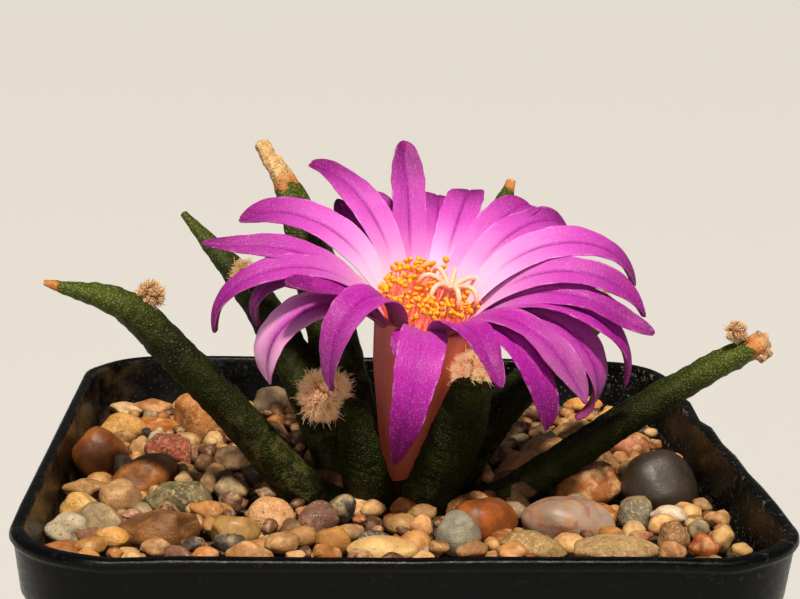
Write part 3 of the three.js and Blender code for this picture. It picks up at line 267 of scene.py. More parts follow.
def rgba(code):
    """Linear colour from six hexadecimal digits: each channel is raised as the display standard says."""
    channel = np.array([int(code[i:i + 2], 16) / 255 for i in (0, 2, 4)])
    linear = np.where(channel <= 0.04045, channel / 12.92, ((channel + 0.055) / 1.055) ** 2.4)
    return (*linear.tolist(), 1.0)


def seeded(seed):
    """Repeatable numbers from 0 to 1: a 32-bit counter, mixed by shifts and products."""
    state = seed & 0xFFFFFFFF
    while True:
        state = (state + 0x6D2B79F5) & 0xFFFFFFFF
        mixed = ((state ^ (state >> 15)) * (state | 1)) & 0xFFFFFFFF
        mixed ^= (mixed + (((mixed ^ (mixed >> 7)) * (mixed | 61)) & 0xFFFFFFFF)) & 0xFFFFFFFF
        yield ((mixed ^ (mixed >> 14)) & 0xFFFFFFFF) / 2 ** 32


def smooth(value, low, high):
    """Smooth step: 0 below low, 1 above high, and 3t squared minus 2t cubed between."""
    t = np.clip((value - low) / (high - low), 0, 1)
    return t * t * (3 - 2 * t)


def unit(vectors):
    """The same directions with a length of 1."""
    return vectors / np.maximum(np.linalg.norm(vectors, axis=-1, keepdims=True), 1e-12)


def ripple(points, wavelength, seed, waves=6):
    """Soft uneven field: the mean of sines along seeded directions, about -1 to 1."""
    random = np.random.default_rng(seed)
    total = np.zeros(points.shape[:-1])
    for _ in range(waves):
        direction = unit(random.normal(size=3)) * 2 * np.pi / (wavelength * random.uniform(0.7, 1.4))
        total += np.sin(points @ direction + random.uniform(0, 2 * np.pi))
    return total / np.sqrt(waves)


def curve_through(points, shares):
    """Uniform Catmull-Rom curve with mirrored end points: places and tangents at shares of its length."""
    points = np.asarray(points, float)
    whole = np.vstack([2 * points[0] - points[1], points, 2 * points[-1] - points[-2]])
    x = np.clip(shares, 0, 1) * (len(points) - 1)
    k = np.minimum(x.astype(int), len(points) - 2)
    w = (x - k)[:, None]
    p0, p1, p2, p3 = whole[k], whole[k + 1], whole[k + 2], whole[k + 3]
    bend, twist = 2 * p0 - 5 * p1 + 4 * p2 - p3, 3 * p1 - p0 - 3 * p2 + p3
    place = 0.5 * (2 * p1 + (p2 - p0) * w + bend * w ** 2 + twist * w ** 3)
    return place, unit(0.5 * ((p2 - p0) + 2 * bend * w + 3 * twist * w ** 2))


def numbers_through(numbers, shares):
    """The same curve through plain numbers."""
    return curve_through(np.array(numbers)[:, None] * [1.0, 0, 0], shares)[0][:, 0]


def flower_directions(azimuth):
    """Directions away from the flower's axis at an azimuth in radians, and round it there."""
    out = np.cos(azimuth) * RIGHTWARD + np.sin(azimuth) * BACKWARD
    return out, np.cross(AXIS, out)


def flower_point(radius, azimuth, height):
    """Point at a radius, azimuth in radians and height about the flower's axis."""
    radius, azimuth, height = (np.asarray(v, float)[..., None] for v in (radius, azimuth, height))
    return THROAT + radius * flower_directions(azimuth)[0] + height * AXIS


def shell(rings, **marks):
    """Closed surface: quads between neighbouring rings, and a fan onto a pole in the middle of each end."""
    rings = np.asarray(rings, float)
    rows, around = rings.shape[:2]
    points = np.vstack([rings.reshape(-1, 3), rings[0].mean(0), rings[-1].mean(0)])
    row, column = np.meshgrid(np.arange(rows - 1), np.arange(around), indexing="ij")
    here = row * around + column
    after = row * around + (column + 1) % around
    quads = np.stack([here, after, after + around, here + around], -1).reshape(-1, 4)
    j = np.arange(around)
    k = (j + 1) % around
    last = (rows - 1) * around
    low = np.stack([np.full(around, rows * around), k, j], -1)
    high = np.stack([np.full(around, rows * around + 1), last + j, last + k], -1)
    fans = np.vstack([low, high])
    corners = np.vstack([quads[:, [0, 1, 2]], quads[:, [0, 2, 3]], fans])
    a, b, c = points[corners[:, 0]], points[corners[:, 1]], points[corners[:, 2]]
    if np.einsum("ij,ij->i", a, np.cross(b, c)).sum() < 0:
        quads, fans = quads[:, ::-1], fans[:, ::-1]
    values = {}
    for name, value in marks.items():
        value = np.broadcast_to(np.asarray(value, float), rings.shape[:2])
        values[name] = np.concatenate([value.ravel(), [value[0].mean(), value[-1].mean()]])
    return {"points": points, "quads": quads, "fans": fans, "marks": values}


def round_steps(count):
    """Angles of even steps round a circle."""
    return np.arange(count) / count * 2 * np.pi


def rod(line, radii, sides, **marks):
    """Round section carried along a line: at each point a circle across the line's direction there."""
    line = np.asarray(line, float)
    along = unit(np.gradient(line, axis=0))
    start = np.cross(along[0], UP if abs(along[0][2]) < 0.9 else RIGHTWARD)
    side = unit(start - np.einsum("ij,j->i", along, start)[:, None] * along)
    other = np.cross(along, side)
    angle = round_steps(sides)
    radii = np.broadcast_to(radii, len(line))[:, None, None]
    circle = side[:, None] * np.cos(angle)[:, None] + other[:, None] * np.sin(angle)[:, None]
    return shell(line[:, None] + radii * circle, **marks)


def ball(columns, rows):
    """Unit directions on a grid of latitudes and longitudes, without the two poles."""
    polar = np.pi * (np.arange(rows) + 1) / (rows + 1)
    turn = round_steps(columns)
    polar, turn = np.meshgrid(polar, turn, indexing="ij")
    return np.stack([np.sin(polar) * np.cos(turn), np.sin(polar) * np.sin(turn), np.cos(polar)], -1)


def pebble(row, seed, columns, rows, sharpness, **marks):
    """Water-worn stone: an ellipsoid whose radius is 1 plus low seeded waves of the direction, times a soft
    minimum over seeded planes that gives it worn facets, fainter where the sharpness is low. It is tilted
    about Y and then turned about Z."""
    x, y, z, a, b, c, turn, tilt, lump = row[:9]
    draws = seeded(seed)
    first, second, third = (next(draws) * 2 * np.pi for _ in range(3))
    random = np.random.default_rng(seed)
    normal = unit(random.normal(size=(FACETS, 3)))
    depth = random.uniform(0.93 - 0.012 * sharpness, 1.0, FACETS)
    cos_tilt, sin_tilt = np.cos(np.radians(tilt)), np.sin(np.radians(tilt))
    cos_turn, sin_turn = np.cos(np.radians(turn)), np.sin(np.radians(turn))
    tilted = np.array([[cos_tilt, 0, sin_tilt], [0, 1, 0], [-sin_tilt, 0, cos_tilt]])
    turned = np.array([[cos_turn, -sin_turn, 0], [sin_turn, cos_turn, 0], [0, 0, 1]]) @ tilted

    def outwards(d):
        wave = np.sin(3.1 * d[..., 0] + first) * np.sin(2.7 * d[..., 1] + second)
        wave = wave + 0.6 * np.sin(4.3 * d[..., 2] + 3.7 * d[..., 0] + third)
        near = np.sum(np.maximum(d @ normal.T / depth, 0) ** sharpness, -1)
        facet = np.maximum(near, 1e-12) ** (-1 / sharpness)
        radius = (1 + lump * wave) * np.clip(facet, *FACET_LIMITS) ** min(sharpness / FULLY_FACETED, 1)
        return d * radius[..., None] * np.array([a, b, c]) @ turned.T + np.array([x, y, z])

    body = shell(outwards(ball(columns, rows)), **marks)
    body["points"][-2:] = outwards(np.array([UP, -UP]))
    return body


def square_ring(half, z, corner_steps=14, side_steps=10):
    """Square with round corners whose radius grows with the half width, as one closed ring of points: each
    corner's arc, then a straight side to the start of the next arc."""
    corner = np.interp(half, [0, BASE_HALF, RIM_HALF], [0, CORNER_BASE, CORNER_RIM])
    centres = (half - corner) * np.array([[1, 1], [-1, 1], [-1, -1], [1, -1]])
    share = (np.arange(side_steps) / side_steps)[:, None]
    pieces = []
    for quarter, (centre, following) in enumerate(zip(centres, np.roll(centres, -1, 0))):
        angle = (quarter + np.arange(corner_steps + 1) / corner_steps) * np.pi / 2
        arc = centre + corner * np.column_stack([np.cos(angle), np.sin(angle)])
        pieces += [arc[:-1], arc[-1] + (following - centre) * share]
    flat = np.vstack(pieces)
    return np.column_stack([flat, np.full(len(flat), float(z))])


def wall_half(z):
    """Outer half width of the tapered wall: a straight line from the base to the foot of the rim band."""
    return np.interp(z, [0, BAND_BOTTOM], [BASE_HALF, RIM_HALF - BAND_INSET - BAND_STEP])


def mesh_of(name, parts, paint, marks=()):
    """One smooth mesh from shells in millimetres, with its marks as attributes."""
    points, faces, sizes, values = [], [], [], {mark: [] for mark in marks}
    start = 0
    for part in parts:
        points.append(part["points"])
        for group in (part["quads"], part["fans"]):
            faces.append((group + start).ravel())
            sizes.append(np.full(len(group), group.shape[1]))
        for mark in marks:
            values[mark].append(part["marks"].get(mark, np.zeros(len(part["points"]))))
        start += len(part["points"])
    points, faces, sizes = np.vstack(points) * MM, np.concatenate(faces), np.concatenate(sizes)
    mesh = bpy.data.meshes.new(name)
    mesh.vertices.add(len(points))
    mesh.vertices.foreach_set("co", points.ravel())
    mesh.loops.add(len(faces))
    mesh.loops.foreach_set("vertex_index", faces.astype(np.int32))
    mesh.polygons.add(len(sizes))
    mesh.polygons.foreach_set("loop_start", (np.cumsum(sizes) - sizes).astype(np.int32))
    mesh.polygons.foreach_set("use_smooth", np.ones(len(sizes), bool))
    mesh.update(calc_edges=True)
    for mark in marks:
        layer = mesh.attributes.new(mark, "FLOAT", "POINT")
        layer.data.foreach_set("value", np.concatenate(values[mark]).astype(np.float32))
    if mesh.validate():
        raise RuntimeError(f"the mesh of {name} had faults")
    mesh.materials.append(paint)
    return mesh


def make_piece(name, parts, paint, slot, *nodes, marks=()):
    """A piece at the origin that rides on the root body and stands for the nodes named."""
    piece = bpy.data.objects.new(name, mesh_of(name, parts, paint, marks))
    bpy.context.scene.collection.objects.link(piece)
    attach(piece, "root")
    if nodes:
        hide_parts(*nodes)
    return piece


class Paint:
    """A material under construction: its nodes are added by short calls that return output sockets."""

    def __init__(self, name, roughness=0.5, **constants):
        self.material = bpy.data.materials.new(name)
        self.material.use_nodes = True
        self.tree = self.material.node_tree
        self.shader = self.tree.nodes["Principled BSDF"]
        self.place = self.tree.nodes.new("ShaderNodeTexCoord").outputs["Object"]
        self.set(Roughness=roughness, **constants)

    def put(self, socket, value):
        """Link a socket to another one, or set its value."""
        if isinstance(value, bpy.types.NodeSocket):
            self.tree.links.new(value, socket)
        else:
            socket.default_value = value

    def set(self, **values):
        """Set inputs of the shader, named with an underscore for each space."""
        for name, value in values.items():
            self.put(self.shader.inputs[name.replace("_", " ")], value)

    def node(self, kind, settings=(), **values):
        """A new node with its settings and inputs."""
        node = self.tree.nodes.new(kind)
        for name, value in dict(settings).items():
            setattr(node, name, value)
        for name, value in values.items():
            self.put(node.inputs[name.replace("_", " ")], value)
        return node

    def mark(self, name):
        """A mark of the mesh."""
        return self.node("ShaderNodeAttribute", {"attribute_name": name}).outputs["Fac"]

    def stretch(self, scale, place=None):
        """The place, multiplied by a number for each axis."""
        return self.node("ShaderNodeMapping", Vector=place or self.place, Scale=scale).outputs["Vector"]

    def noise(self, size, detail=3.0, rough=0.55, place=None, distortion=0.0):
        """Noise whose blobs are about the given size in millimetres."""
        node = self.node("ShaderNodeTexNoise", Vector=place or self.place, Scale=1 / (size * MM),
                         Detail=detail, Roughness=rough, Distortion=distortion)
        return node.outputs["Fac"]

    def cells(self, size, feature="F1", place=None, output="Distance", randomness=1.0):
        """Cells of the given size in millimetres."""
        node = self.node("ShaderNodeTexVoronoi", {"feature": feature}, Vector=place or self.place,
                         Scale=1 / (size * MM), Randomness=randomness)
        return node.outputs[output]

    def math(self, operation, first, second=0.0):
        """The result of a sum, product or the like."""
        node = self.node("ShaderNodeMath", {"operation": operation})
        self.put(node.inputs[0], first)
        self.put(node.inputs[1], second)
        return node.outputs[0]

    def times(self, first, second):
        """The product of two values."""
        return self.math("MULTIPLY", first, second)

    def fade(self, value, low, high, start=0.0, end=1.0):
        """Smooth change from start to end as the value goes from low to high."""
        node = self.node("ShaderNodeMapRange", {"interpolation_type": "SMOOTHSTEP"}, Value=value,
                         From_Min=low, From_Max=high, To_Min=start, To_Max=end)
        return node.outputs["Result"]

    def blend(self, share, first, second, kind="MIX"):
        """From the first colour to the second by the share."""
        node = self.node("ShaderNodeMix", {"data_type": "RGBA", "blend_type": kind})
        for index, value in ((0, share), (6, first), (7, second)):
            self.put(node.inputs[index], value)
        return node.outputs[2]

    def over(self, tone, share, code):
        """A tone with a colour of six hexadecimal digits laid over it by the share."""
        return self.blend(share, tone, rgba(code))

    def axis(self, name):
        """The X, Y or Z of the place, in metres."""
        return self.node("ShaderNodeSeparateXYZ", Vector=self.place).outputs[name]

    def bump(self, height, depth, normal=None):
        """Relief of the given depth in millimetres where the height goes from 0 to 1."""
        node = self.node("ShaderNodeBump", Height=height, Distance=depth * MM, Strength=1.0)
        if normal:
            self.put(node.inputs["Normal"], normal)
        return node.outputs["Normal"]


def pot_paint(colour, dust):
    """Thin black plastic: fine scuffs change the gloss, a thin film of dust clings to the inside, brownish on
    the left, and lime crusts and dots the rim on the right."""
    paint = Paint("pot_plastic", 0.4, Specular_IOR_Level=0.1)
    x, z = paint.axis("X"), paint.axis("Z")
    scuffs = paint.noise(0.8, 5, 0.7, paint.stretch((1, 1, 6)))
    clouds = paint.noise(7, 4, 0.6)
    inside = paint.mark("inside")
    film = paint.times(paint.fade(clouds, 0.4, 0.75), paint.fade(inside, 0, 1, 0.03, 0.3))
    tone = paint.blend(film, colour, dust)
    brown = paint.times(paint.fade(x, -0.034, -0.026, 1, 0), inside)
    brown = paint.times(brown, paint.fade(paint.noise(2.5, 4, 0.6), 0.4, 0.75, 0, 0.55))
    tone = paint.over(tone, brown, "5a4630")
    rim = paint.times(paint.fade(z, 0.0605, 0.0646), paint.fade(x, 0.02, 0.034, 0.12, 1))
    crust = paint.times(paint.fade(paint.noise(1.1, 5, 0.75), 0.56, 0.66), rim)
    crust = paint.times(crust, paint.fade(inside, 0, 1, 0.2, 1))
    specks = paint.times(paint.fade(paint.noise(0.3, 2), 0.64, 0.7), paint.fade(x, -0.02, 0.03, 0.15, 1))
    specks = paint.times(specks, inside)
    lime = paint.math("MAXIMUM", crust, specks)
    tone = paint.over(tone, paint.times(lime, 0.6), "a8a296")
    dull = paint.math("MAXIMUM", paint.math("ADD", scuffs, film), lime)
    paint.set(Base_Color=tone, Roughness=paint.fade(dull, 0.3, 1.0, 0.2, 0.6))
    relief = paint.bump(scuffs, 0.02, paint.bump(paint.noise(4, 2), 0.12))
    paint.set(Normal=paint.bump(lime, 0.1, relief))
    return paint.material


def compost_paint():
    """Crumbly compost: dark brown crumbs with paler bark fibres."""
    paint = Paint("potting_compost", 0.95)
    crumbs = paint.cells(1.6)
    fibres = paint.fade(paint.noise(1.2, 3, 0.5, paint.stretch((1, 1, 4))), 0.6, 0.75)
    tone = paint.blend(paint.noise(2.5, 4), rgba("2a1d14"), rgba("4a3828"))
    paint.set(Base_Color=paint.blend(fibres, tone, rgba("7a6248")), Normal=paint.bump(crumbs, 0.8))
    return paint.material


def grit_paint():
    """Dark damp grit between the pebbles, kept this dark partly as painted shade in the gaps between them."""
    paint = Paint("grit", 0.85)
    grains = paint.cells(0.9)
    # Partly painted shade: the grit's dark browns make the gaps between the pebbles read as shaded.
    tone = paint.blend(paint.noise(0.8, 3), rgba("241a12"), rgba("5a4632"))
    paint.set(Base_Color=tone, Normal=paint.bump(grains, 0.5))
    return paint.material


def gravel_paint():
    """Small river pebbles: each has its own colour, with mottling, a paler bloom, grain and dark specks."""
    paint = Paint("river_gravel", 0.5, Specular_IOR_Level=0.4)
    red, green, blue = (paint.mark(name) for name in CHANNELS)
    tone = paint.node("ShaderNodeCombineColor", Red=red, Green=green, Blue=blue).outputs["Color"]
    mottle = paint.noise(1.3, 6, 0.7, distortion=0.6)
    tone = paint.blend(paint.fade(mottle, 0.3, 0.7, 0.0, 0.6), tone, rgba("8a5a38"), "MULTIPLY")
    tone = paint.over(tone, paint.fade(paint.noise(1.6, 5, 0.7), 0.48, 0.66, 0.0, 0.45), "f0c890")
    specks = paint.fade(paint.noise(0.2, 2), 0.62, 0.7)
    tone = paint.over(tone, paint.times(specks, 0.55), "3c2818")
    # Painted shade: the pebbles darken to near black low down, where they lie between and under the others.
    low = paint.fade(paint.axis("Z"), 0.0575, 0.0602, 0.75, 0.0)
    tone = paint.over(tone, low, "1c140e")
    grain = paint.noise(0.22, 4, 0.7)
    paint.set(Base_Color=tone, Roughness=paint.fade(mottle, 0.2, 0.8, 0.36, 0.66))
    paint.set(Normal=paint.bump(grain, 0.08, paint.bump(mottle, 0.16)))
    return paint.material


def stone_paint(name, main, second, finish):
    """River stone in one of five finishes: smooth, grainy, speckled, banded or veined."""
    paint = Paint("river_stone_" + name, 0.5, Specular_IOR_Level=0.36)
    main, second = rgba(main), rgba(second)
    broad, fine = paint.noise(2.2, 6, 0.66, distortion=0.6), paint.noise(0.22, 4, 0.7)
    tone = paint.blend(paint.fade(broad, 0.34, 0.64), main, second)
    tone = paint.blend(paint.fade(fine, 0.4, 0.68, 0, 0.45), tone, rgba("f0d8ac"), "SOFT_LIGHT")
    tone = paint.blend(paint.fade(paint.noise(0.7, 5, 0.72, distortion=0.4), 0.5, 0.66, 0, 0.4), tone, second)
    if finish == "speckled":
        specks = paint.fade(paint.noise(0.24, 2, 0.5), 0.58, 0.66)
        tone = paint.over(tone, paint.times(specks, 0.6), "3a2e26")
        pale = paint.fade(paint.noise(0.35, 2, 0.5, paint.stretch((1.1, 0.9, 1))), 0.62, 0.7)
        tone = paint.over(tone, paint.times(pale, 0.5), "dccdb8")
    elif finish == "banded":
        bent = paint.noise(1.2, 3, 0.6, paint.stretch((0.35, 0.6, 2.2)), 0.6)
        tone = paint.blend(paint.fade(bent, 0.42, 0.62, 0, 0.6), tone, second)
    elif finish == "veined":
        web = paint.cells(4.4, "DISTANCE_TO_EDGE", paint.stretch((0.7, 1, 1.6)))
        wander = paint.math("ADD", web, paint.times(paint.math("SUBTRACT", broad, 0.5), 0.5))
        veins = paint.times(paint.fade(wander, 0.0, 0.06, 0.8, 0.0),
                            paint.fade(paint.noise(3, 2), 0.42, 0.55))
        tone = paint.blend(paint.fade(broad, 0.35, 0.65), main, rgba("8c7464"))
        tone = paint.over(tone, paint.fade(paint.noise(1.7, 4, 0.6), 0.52, 0.66, 0, 0.65), "b07440")
        tone = paint.blend(veins, tone, second)
        tone = paint.over(tone, paint.fade(paint.noise(4, 2), 0.55, 0.75, 0, 0.5), "c2a48c")
    elif finish == "grainy":
        chips = paint.noise(0.4, 5, 0.78, distortion=0.8)
        tone = paint.over(tone, paint.fade(chips, 0.5, 0.62, 0, 0.35), "ecd0a0")
        tone = paint.over(tone, paint.fade(chips, 0.36, 0.44, 0.45, 0), "4a3018")
    # Painted shade: the stone darkens to near black low down, where it lies among the other pebbles.
    low = paint.fade(paint.axis("Z"), 0.0575, 0.0605, 0.6, 0.0)
    tone = paint.over(tone, low, "1c140e")
    paint.set(Base_Color=tone, Roughness=paint.fade(broad, 0.25, 0.75, *FINISHES[finish]))
    pits = paint.fade(paint.noise(0.5, 2), 0.3, 0.42)
    polished = finish in ("smooth", "veined")
    relief = paint.bump(pits, 0.012 if polished else 0.05, paint.bump(broad, 0.06 if polished else 0.15))
    paint.set(Normal=paint.bump(fine, 0.005 if polished else 0.09, relief))
    return paint.material


def flesh_paint(colour, shade, dry):
    """Skin of the tubercles: dark olive, set with minute papillae with lighter tops and pale painted glints
    on them, painted greener and lighter towards the ends, with paler papillae there, as painted light on the
    lit ends while the base stays in the flower's shade; with a little white scurf, corky patches towards the
    base, and a dry orange-brown to beige end where the dry mark is over 0."""
    paint = Paint("plant_skin", 0.5, Specular_IOR_Level=0.14)
    papillae = paint.cells(0.27)
    dome = paint.fade(papillae, 0.0, 0.6, 1.0, 0.0)
    broad = paint.noise(3.5, 4, 0.6)
    tone = paint.blend(paint.fade(broad, 0.3, 0.7), colour, shade)
    # Painted light: greener and lighter towards the ends, where the light falls, while the base stays in the
    # flower's shade.
    ends = paint.fade(paint.mark("dry"), -5.5, -0.5, 0, 0.5)
    tone = paint.over(tone, ends, "4c5a18")
    tone = paint.over(tone, paint.times(dome, 0.4), "4c4f1c")
    # Painted highlights: the papillae turn pale near the lit ends.
    tone = paint.over(tone, paint.times(dome, ends), "a2a658")
    scurf = paint.times(paint.fade(paint.noise(0.3, 3, 0.6), 0.64, 0.72),
                        paint.fade(paint.noise(4, 3), 0.5, 0.7))
    tone = paint.over(tone, scurf, "b4b08c")
    # Painted highlights: pale glints on the tops of the papillae, here and there.
    glints = paint.times(paint.fade(papillae, 0.0, 0.14, 1, 0), paint.fade(paint.noise(0.6, 2), 0.46, 0.56))
    tone = paint.over(tone, paint.times(glints, 0.6), "b8c084")
    patches = paint.fade(paint.noise(1.2, 4, 0.65, distortion=0.5), 0.46, 0.62)
    cork = paint.times(paint.mark("cork"), patches)
    tone = paint.over(tone, paint.times(cork, 0.35), "6a6238")
    jagged = paint.times(paint.math("SUBTRACT", paint.noise(0.8, 3), 0.5), 1.6)
    end = paint.fade(paint.math("ADD", paint.mark("dry"), jagged), 0.0, 0.3)
    husk = paint.blend(paint.fade(paint.noise(0.5, 5, 0.7), 0.35, 0.7), dry, rgba("e2c294"))
    husk = paint.over(husk, paint.fade(paint.mark("dry"), 0.2, 1.6, 0.85, 0), "b8682a")
    husk = paint.over(husk, paint.times(paint.fade(paint.noise(0.9, 3), 0.58, 0.7), 0.6), "7b6a58")
    tone = paint.blend(end, tone, husk)
    tone = paint.over(tone, paint.mark("scar"), "6a6258")
    gloss = paint.fade(paint.noise(0.4, 3), 0.35, 0.7, 0.5, 0.72)
    paint.set(Base_Color=tone, Roughness=paint.math("MAXIMUM", gloss, paint.times(end, 0.85)))
    paint.set(Normal=paint.bump(paint.noise(0.35, 3, 0.6), 0.03, paint.bump(dome, 0.09)))
    return paint.material


def wool_paint(colour):
    """Matted areole wool: cream strands, darkened towards their roots and the core as painted shade deep in
    the tuft, and paler at the tips as painted light. Where the lit mark is high, a tuft glows by its own
    colour, painted light that stands in for light reaching it, and has pinkish patches of painted light."""
    paint = Paint("areole_wool", 0.8, Specular_IOR_Level=0.15)
    share = paint.mark("share")
    tone = paint.blend(paint.mark("tint"), colour, rgba("e8b074"))
    lit = paint.mark("lit")
    # Painted light: pinkish patches on the glowing tufts, as light that comes through the petals.
    pinkish = paint.times(paint.fade(paint.noise(2.4, 2), 0.42, 0.6, 0, 0.55), paint.fade(lit, 0.06, 0.1))
    tone = paint.over(tone, pinkish, "e88c70")
    # Painted shade and light: strands darken towards their roots and the core, deep in the tuft, and turn
    # paler at their tips.
    tone = paint.over(tone, paint.fade(share, 0.0, 0.65, 0.85, 0.0), "74441e")
    tone = paint.over(tone, paint.fade(share, 0.6, 1.0, 0.0, 0.6), "ffe2c0")
    fibres = paint.noise(0.16, 3, 0.6, distortion=1.5)
    tone = paint.over(tone, paint.fade(fibres, 0.38, 0.5, 0.2, 0), "a87c4c")
    # Painted light: the tuft glows by its own colour, as strongly as its lit mark.
    paint.set(Base_Color=tone, Emission_Color=tone, Emission_Strength=lit, Normal=paint.bump(fibres, 0.12))
    return paint.material


def tube_paint():
    """Fleshy floral tube: salmon on its lit side and dusky pink on its shaded side, as painted light and
    shade, with darker furrows and a pink flush at the top, duller at the foot, and a faint painted glow."""
    # Painted light: a faint salmon emission makes the tube glow.
    paint = Paint("floral_tube", 0.42, Emission_Color=rgba("ff6848"), Emission_Strength=0.05,
                  Subsurface_Weight=0.3, Subsurface_Scale=0.001)
    around, along, sunny = (paint.mark(name) for name in ("around", "along", "sunny"))
    unrolled = paint.node("ShaderNodeCombineXYZ", X=paint.times(around, 0.022), Y=paint.times(along, 0.003))
    streaks = paint.noise(1.0, 3, 0.6, unrolled.outputs["Vector"])
    # Painted light and shade: salmon on the lit side, dusky pink on the shaded side.
    tone = paint.blend(paint.fade(sunny, 0.3, 0.8), rgba("b4666a"), rgba("e67e68"))
    tone = paint.over(tone, paint.fade(streaks, 0.4, 0.75, 0, 0.35), "b05c58")
    tone = paint.over(tone, paint.fade(along, 0.75, 1.05, 0.0, 0.5), "e8809c")
    tone = paint.over(tone, paint.fade(along, 0.0, 0.3, 0.4, 0.0), "a87448")
    paint.set(Base_Color=tone, Normal=paint.bump(streaks, 0.1, paint.bump(paint.noise(0.25, 2), 0.02)))
    return paint.material


def petal_paint(colour, deep, pale):
    """Satin petals: magenta, deeper in the fine lengthwise veins, along the midline and towards the tip, with
    a paler margin here and there and the glitter of the cells, painted in as pale sparkle highlights. On
    the back petals, where the bleach mark is high, they pale towards the throat until they are
    nearly white, partly their own pale base and partly painted light where the light falls on them, with
    a near-white painted highlight; the wash mark pales them elsewhere. The lower face is duller."""
    paint = Paint("petal_satin", 0.4, Subsurface_Weight=0.1, Subsurface_Scale=0.0006, Specular_IOR_Level=0.22)
    along, across, upper, pick = (paint.mark(name) for name in ("along", "across", "upper", "pick"))
    flat = paint.node("ShaderNodeCombineXYZ", X=paint.times(across, 0.0042), Y=paint.times(along, 0.003),
                      Z=pick)
    veins = paint.noise(0.3, 3, 0.6, flat.outputs["Vector"])
    out = paint.math("ABSOLUTE", across)
    tone = paint.blend(paint.fade(along, 0.45, 0.95, 0.0, 0.8), colour, deep)
    middle = paint.times(paint.fade(out, 0.0, 0.2, 0.7, 0.0), paint.fade(along, 0.2, 0.5))
    line = paint.times(paint.fade(out, 0.02, 0.07, 0.4, 0.0), paint.fade(along, 0.25, 0.5))
    tone = paint.over(tone, paint.fade(paint.noise(3.5, 3), 0.45, 0.7, 0.0, 0.25), "c830b0")
    tone = paint.blend(paint.fade(veins, 0.35, 0.65, 0.35, 0.0), tone, deep)
    tone = paint.blend(paint.mark("wash"), tone, pale)
    # Painted light, partly the petals' own pale base: brighter magenta, then pale, then near-white towards
    # the throat on the back petals, where the light falls.
    base = paint.math("ADD", along, paint.times(pick, 0.1))
    bleach = paint.mark("bleach")
    tone = paint.over(tone, paint.times(paint.fade(base, 0.4, 1.05, 0.75, 0.0), bleach), "d058c8")
    tone = paint.blend(paint.times(paint.fade(base, 0.16, 0.6, 0.9, 0.0), bleach), tone, pale)
    tone = paint.over(tone, paint.times(paint.fade(base, 0.06, 0.4, 0.85, 0.0), bleach), "ffe0fa")
    tone = paint.over(tone, middle, "8c0a86")
    tone = paint.over(tone, line, "7a0070")
    tone = paint.over(tone, paint.fade(along, 0.0, 0.1, 0.7, 0.0), "f09488")
    margin = paint.times(paint.fade(out, 0.86, 1.0, 0.0, 0.3), paint.fade(paint.noise(1.2, 2), 0.5, 0.65))
    tone = paint.blend(margin, tone, pale)
    under = paint.blend(paint.fade(out, 0.1, 0.6, 0.6, 0.0), rgba("a03c80"), rgba("6e2448"))
    under = paint.over(under, paint.fade(along, 0.0, 0.3, 0.7, 0.0), "b87068")
    tone = paint.blend(paint.fade(upper, 0.35, 0.65, 0.8, 0.0), tone, under)
    # Painted highlights: pale pink sparkle of the cells laid into the colour, where the cells are glossier
    # too.
    glitter = paint.cells(0.065, output="Color")
    spark = paint.fade(paint.node("ShaderNodeSeparateColor", Color=glitter).outputs[0], 0.82, 1.0)
    tone = paint.over(tone, paint.times(spark, 0.24), "ffb0ff")
    grain = paint.cells(0.1)
    paint.set(Base_Color=tone, Roughness=paint.fade(spark, 0, 1, 0.5, 0.28))
    paint.set(Normal=paint.bump(grain, 0.008, paint.bump(veins, 0.06)))
    return paint.material


def filament_paint(colour):
    """Filaments: salmon, paler towards the anther, with a painted glow."""
    # Painted light: a salmon emission makes the filaments glow in the shaded throat.
    paint = Paint("filament", 0.45, Subsurface_Weight=0.5, Subsurface_Scale=0.001,
                  Emission_Color=rgba("ff7058"), Emission_Strength=0.22)
    tone = paint.blend(paint.mark("along"), colour, rgba("ffc4ae"))
    paint.set(Base_Color=paint.blend(paint.fade(paint.noise(0.6, 2), 0.4, 0.7, 0, 0.2), tone, rgba("d8607a")))
    paint.set(Normal=paint.bump(paint.noise(0.2, 2), 0.02))
    return paint.material


def anther_paint(colour):
    """Powdery golden pollen."""
    paint = Paint("anther_pollen", 0.75)
    grains = paint.cells(0.09)
    tone = paint.blend(paint.fade(paint.noise(0.5, 3), 0.3, 0.7), colour, rgba("f89c10"))
    tone = paint.over(tone, paint.fade(grains, 0, 0.6, 0.4, 0), "ffe680")
    paint.set(Base_Color=tone, Normal=paint.bump(grains, 0.04))
    return paint.material


def stigma_paint(colour):
    """Velvety cream lobes on a salmon style."""
    paint = Paint("stigma_velvet", 0.6, Sheen_Weight=0.3, Subsurface_Weight=0.4, Subsurface_Scale=0.0008)
    tone = paint.blend(paint.mark("along"), rgba("ff9c84"), colour)
    grains = paint.cells(0.11)
    paint.set(Base_Color=tone, Normal=paint.bump(grains, 0.04))
    return paint.material


def floor_paint(colour):
    """Plain pale floor with a faint tooth."""
    paint = Paint("pale_floor", 0.6, Base_Color=(*colour, 1))
    paint.set(Normal=paint.bump(paint.noise(1.5, 2), 0.02))
    return paint.material


